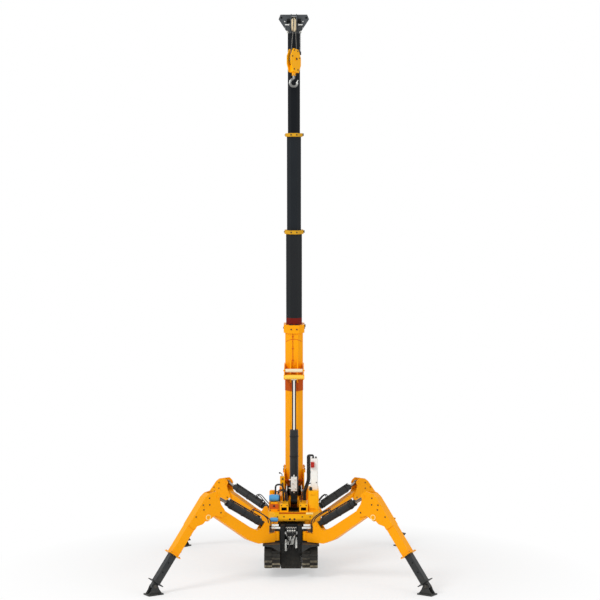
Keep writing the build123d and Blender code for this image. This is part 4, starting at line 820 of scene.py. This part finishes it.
clean_charcoal = two_pack_enamel("clean_charcoal_enamel", "#25282A", "#2C2F31", 0.4, 0.6, 0.12)
leg_bolts = ((-0.06, 0.16), (0.03, 0.1), (-0.29, 0.17), (0.0, 0.235), (0.03, -0.1), (-0.02, 0.05))
pin_cap = [(0.026, 0), (0.026, 0.004), (0.02, 0.008)]
cheek = [(0.103, 0.0205), (0.066, 0.072), (0.044, 0.12), (0.03, 0.14)]
cheek += [(-x, z) for x, z in cheek[::-1]]
band = [(0.0575, 0), (0.061, 0.002), (0.061, 0.02), (0.0575, 0.022)]
collar = [(0.0245, 0), (0.04, 0), (0.04, 0.008), (0.0245, 0.012)]
for corner in ("front_left", "front_right", "rear_left", "rear_right"):
    arm, leg, barrel = f"arm_{corner}", f"leg_{corner}", f"leg_cylinder_{corner}"
    inner, sole = f"inner_leg_{corner}", f"foot_{corner}"
    dress(orange_enamel, arm, leg)
    dress(clean_charcoal, inner, sole)
    dress(charcoal_enamel, barrel)
    dress(chrome_painted_in_shade, f"leg_rod_{corner}")
    king, knuckle, foot, root = (
        np.array(joints[f"{name}_{corner}"]["pos_m"])
        for name in ("arm_swing", "leg_fold", "foot_tilt", "leg_cylinder_swing")
    )
    around = np.array(joints[f"leg_fold_{corner}"]["axis"])
    outward = np.array([around[1], -around[0], 0.0])
    leg_up = -np.array(joints[f"leg_reach_{corner}"]["axis"])
    leg_out = np.cross(around, leg_up)
    rod = np.array(joints[f"leg_rod_slide_{corner}"]["axis"])
    rod_up = np.cross(rod, around)
    fold = np.dot(knuckle - foot, leg_up)

    def in_plane(r, t, z):
        """A point told by the arm: outward from the king pin, square to the arm, and up from the ground."""
        return np.array([king[0], king[1], 0.0]) + r * outward + t * around + z * upward

    def in_leg(x, t, z):
        """A point told by the leg: square to it in the arm's plane, across it, and up along it from the foot's pin."""
        return foot + x * leg_out + t * around + z * leg_up

    rise, out = (0.0, 0.0) if "front" in corner else (0.02, 0.03)
    hoses = []
    for t, top in ((0.024, 0.0), (-0.02, 0.012)):
        run = [(0.135 + out, 1.5 * t, 0.672), (0.135 + out, 1.5 * t, 0.87 - out), (0.24 + out, t, 0.94 + top - out)]
        run += [(0.34 + out, t, 1.0 + top), (0.44, t, 1.05 - rise), (0.46, t, 0.99 - rise)]
        hoses.append(piped(rounded([in_plane(*p) for p in run], 0.3, 10), 0.008))
    piece(f"arm_hoses_{corner}", hoses, hose_cover, arm)
    cap = hex_head((king[0], king[1], 0.729), upward, 0.032, 0.012)
    piece(f"king_pin_cap_{corner}", [cap], bright_zinc, "undercarriage")

    flange = fold - 0.7137
    heads = [hex_head(in_leg(x, s * 0.074, fold + z), s * around, 0.022, 0.008) for s in (-1, 1) for x, z in leg_bolts]
    for x in (-0.081, 0.081):
        heads += [hex_head(in_leg(x, t, flange + 0.014), leg_up, 0.018, 0.008) for t in (-0.07, 0.07)]
    piece(f"leg_bolts_{corner}", heads, black_zinc, leg)
    rings = [knuckle_ring(knuckle + s * 0.082 * around, s * around) for s in (-1, 1)]
    piece(f"knuckle_rings_{corner}", rings, straw_enamel, leg)
    ends = (flange + 0.1, flange + 0.38)
    stay = [piped([in_leg(-0.083, 0, z) for z in ends], 0.008)]
    for z in ends:
        stay.append(plate(oblong(-0.096, -0.064, z - 0.01, z + 0.01), 0.03, in_leg(0, 0.015, 0), leg_out, leg_up))
    piece(f"leg_stay_{corner}", stay, black_zinc, leg)
    strip = plate(oblong(-0.03, 0.03, 0.13, flange - 0.03), 0.004, in_leg(0.0498, 0, 0), -around, leg_up)
    piece(f"wear_strip_{corner}", [strip], machined_steel, inner)
    caps = [turned(pin_cap, foot + s * 0.0535 * around, s * around) for s in (-1, 1)]
    piece(f"foot_pin_caps_{corner}", caps, black_zinc, sole)
    ground = foot - foot[2] * upward
    cheeks = [plate(cheek, 0.006, ground + t * around, outward, upward) for t in (0.0521, -0.0461)]
    piece(f"foot_cheeks_{corner}", cheeks, clean_charcoal, sole)
    bands = [turned(band, root + a * rod, rod, 32, True) for a in (0.131, 0.417, 0.655)]
    bands.append(turned(collar, root + 0.763 * rod, rod, 32, True))
    piece(f"cylinder_bands_{corner}", bands, black_plastic, barrel)
    elbows = [hex_head(root + a * rod + 0.07 * rod_up, s * rod, 0.026, 0.018) for a, s in ((0.118, -1), (0.737, 1))]
    elbows += [hex_head(root + a * rod + 0.048 * rod_up, rod_up, 0.024, 0.03) for a in (0.108, 0.745)]
    piece(f"pipe_unions_{corner}", elbows, bright_zinc, barrel)

# Studio
# A pale floor that goes over into a white background, one large soft lamp high on the left and a
# weaker one on the right.


def seen_or_mirrored(tree):
    """One for rays from the camera, and for those that polished metal or glass sends on."""
    rays = add(tree, "ShaderNodeLightPath").outputs
    found = rays["Is Camera Ray"]
    for kind in ("Is Glossy Ray", "Is Transmission Ray"):
        found = add(tree, "ShaderNodeMath", {0: found, 1: rays[kind]}, operation="ADD", use_clamp=True).outputs[0]
    return found


floor_mesh = bpy.data.meshes.new("studio_floor")
floor_half = 60.0
floor_corners = [(x, y, 0) for x, y in oblong(-floor_half, floor_half, -floor_half, floor_half)]
floor_mesh.from_pydata(floor_corners, [], [(0, 1, 2, 3)])
floor = bpy.data.objects.new("studio_floor", floor_mesh)
bpy.context.scene.collection.objects.link(floor)
floor_paint, tree, place, output = finish_with("studio_floor_paint")
matt = add(tree, "ShaderNodeBsdfDiffuse", {"Color": linear("#FAFAFA")})
white = add(tree, "ShaderNodeEmission", {"Color": (1, 1, 1, 1), "Strength": 1.0})
reach = add(tree, "ShaderNodeVectorMath", {0: place}, operation="LENGTH").outputs["Value"]
far = add(
    tree, "ShaderNodeMapRange", {"Value": reach, "From Min": 2.6, "From Max": 4.8, "To Min": 0.45}
).outputs["Result"]
fade = add(tree, "ShaderNodeMath", {0: far, 1: seen_or_mirrored(tree)}, operation="MULTIPLY").outputs[0]
blend = add(tree, "ShaderNodeMixShader", {0: fade, 1: matt.outputs[0], 2: white.outputs[0]})
tree.links.new(blend.outputs[0], output.inputs["Surface"])
floor_mesh.materials.append(floor_paint)

world = bpy.data.worlds.new("studio_world")
world.use_nodes = True
bpy.context.scene.world = world
tree = world.node_tree
tree.nodes.clear()
strength = add(
    tree, "ShaderNodeMapRange", {"Value": seen_or_mirrored(tree), "To Min": 0.66}
).outputs["Result"]
sky = add(tree, "ShaderNodeBackground", {"Color": (1, 1, 1, 1), "Strength": strength})
output = add(tree, "ShaderNodeOutputWorld")
tree.links.new(sky.outputs[0], output.inputs["Surface"])


def lamp(name, place, aim, width, power):
    """A square soft box that faces a point."""
    light = bpy.data.lights.new(name, "AREA")
    light.size = width
    light.energy = power
    body = bpy.data.objects.new(name, light)
    bpy.context.scene.collection.objects.link(body)
    body.location = place
    body.rotation_euler = (Vector(aim) - Vector(place)).to_track_quat("-Z", "Y").to_euler()


lamp("key_lamp", (-8.0, -10.0, 12.0), (0.0, 0.0, 3.0), 5.0, 980.0)
lamp("fill_lamp", (9.0, -8.0, 6.0), (0.0, 0.0, 3.0), 6.0, 220.0)

# The photo was taken from 17 m in front, a little to the right and 3.4 m up, so the camera stands there
camera = bpy.data.objects.new("camera", bpy.data.cameras.new("camera"))
bpy.context.scene.collection.objects.link(camera)
camera.data.lens = 64.8
camera.data.sensor_width = 36.0
camera.location = (0.135, -17.275, 3.39)
camera.rotation_euler = (radians(92.806), 0.0, 0.0)
bpy.context.scene.camera = camera
bpy.context.scene.view_settings.view_transform = "Standard"
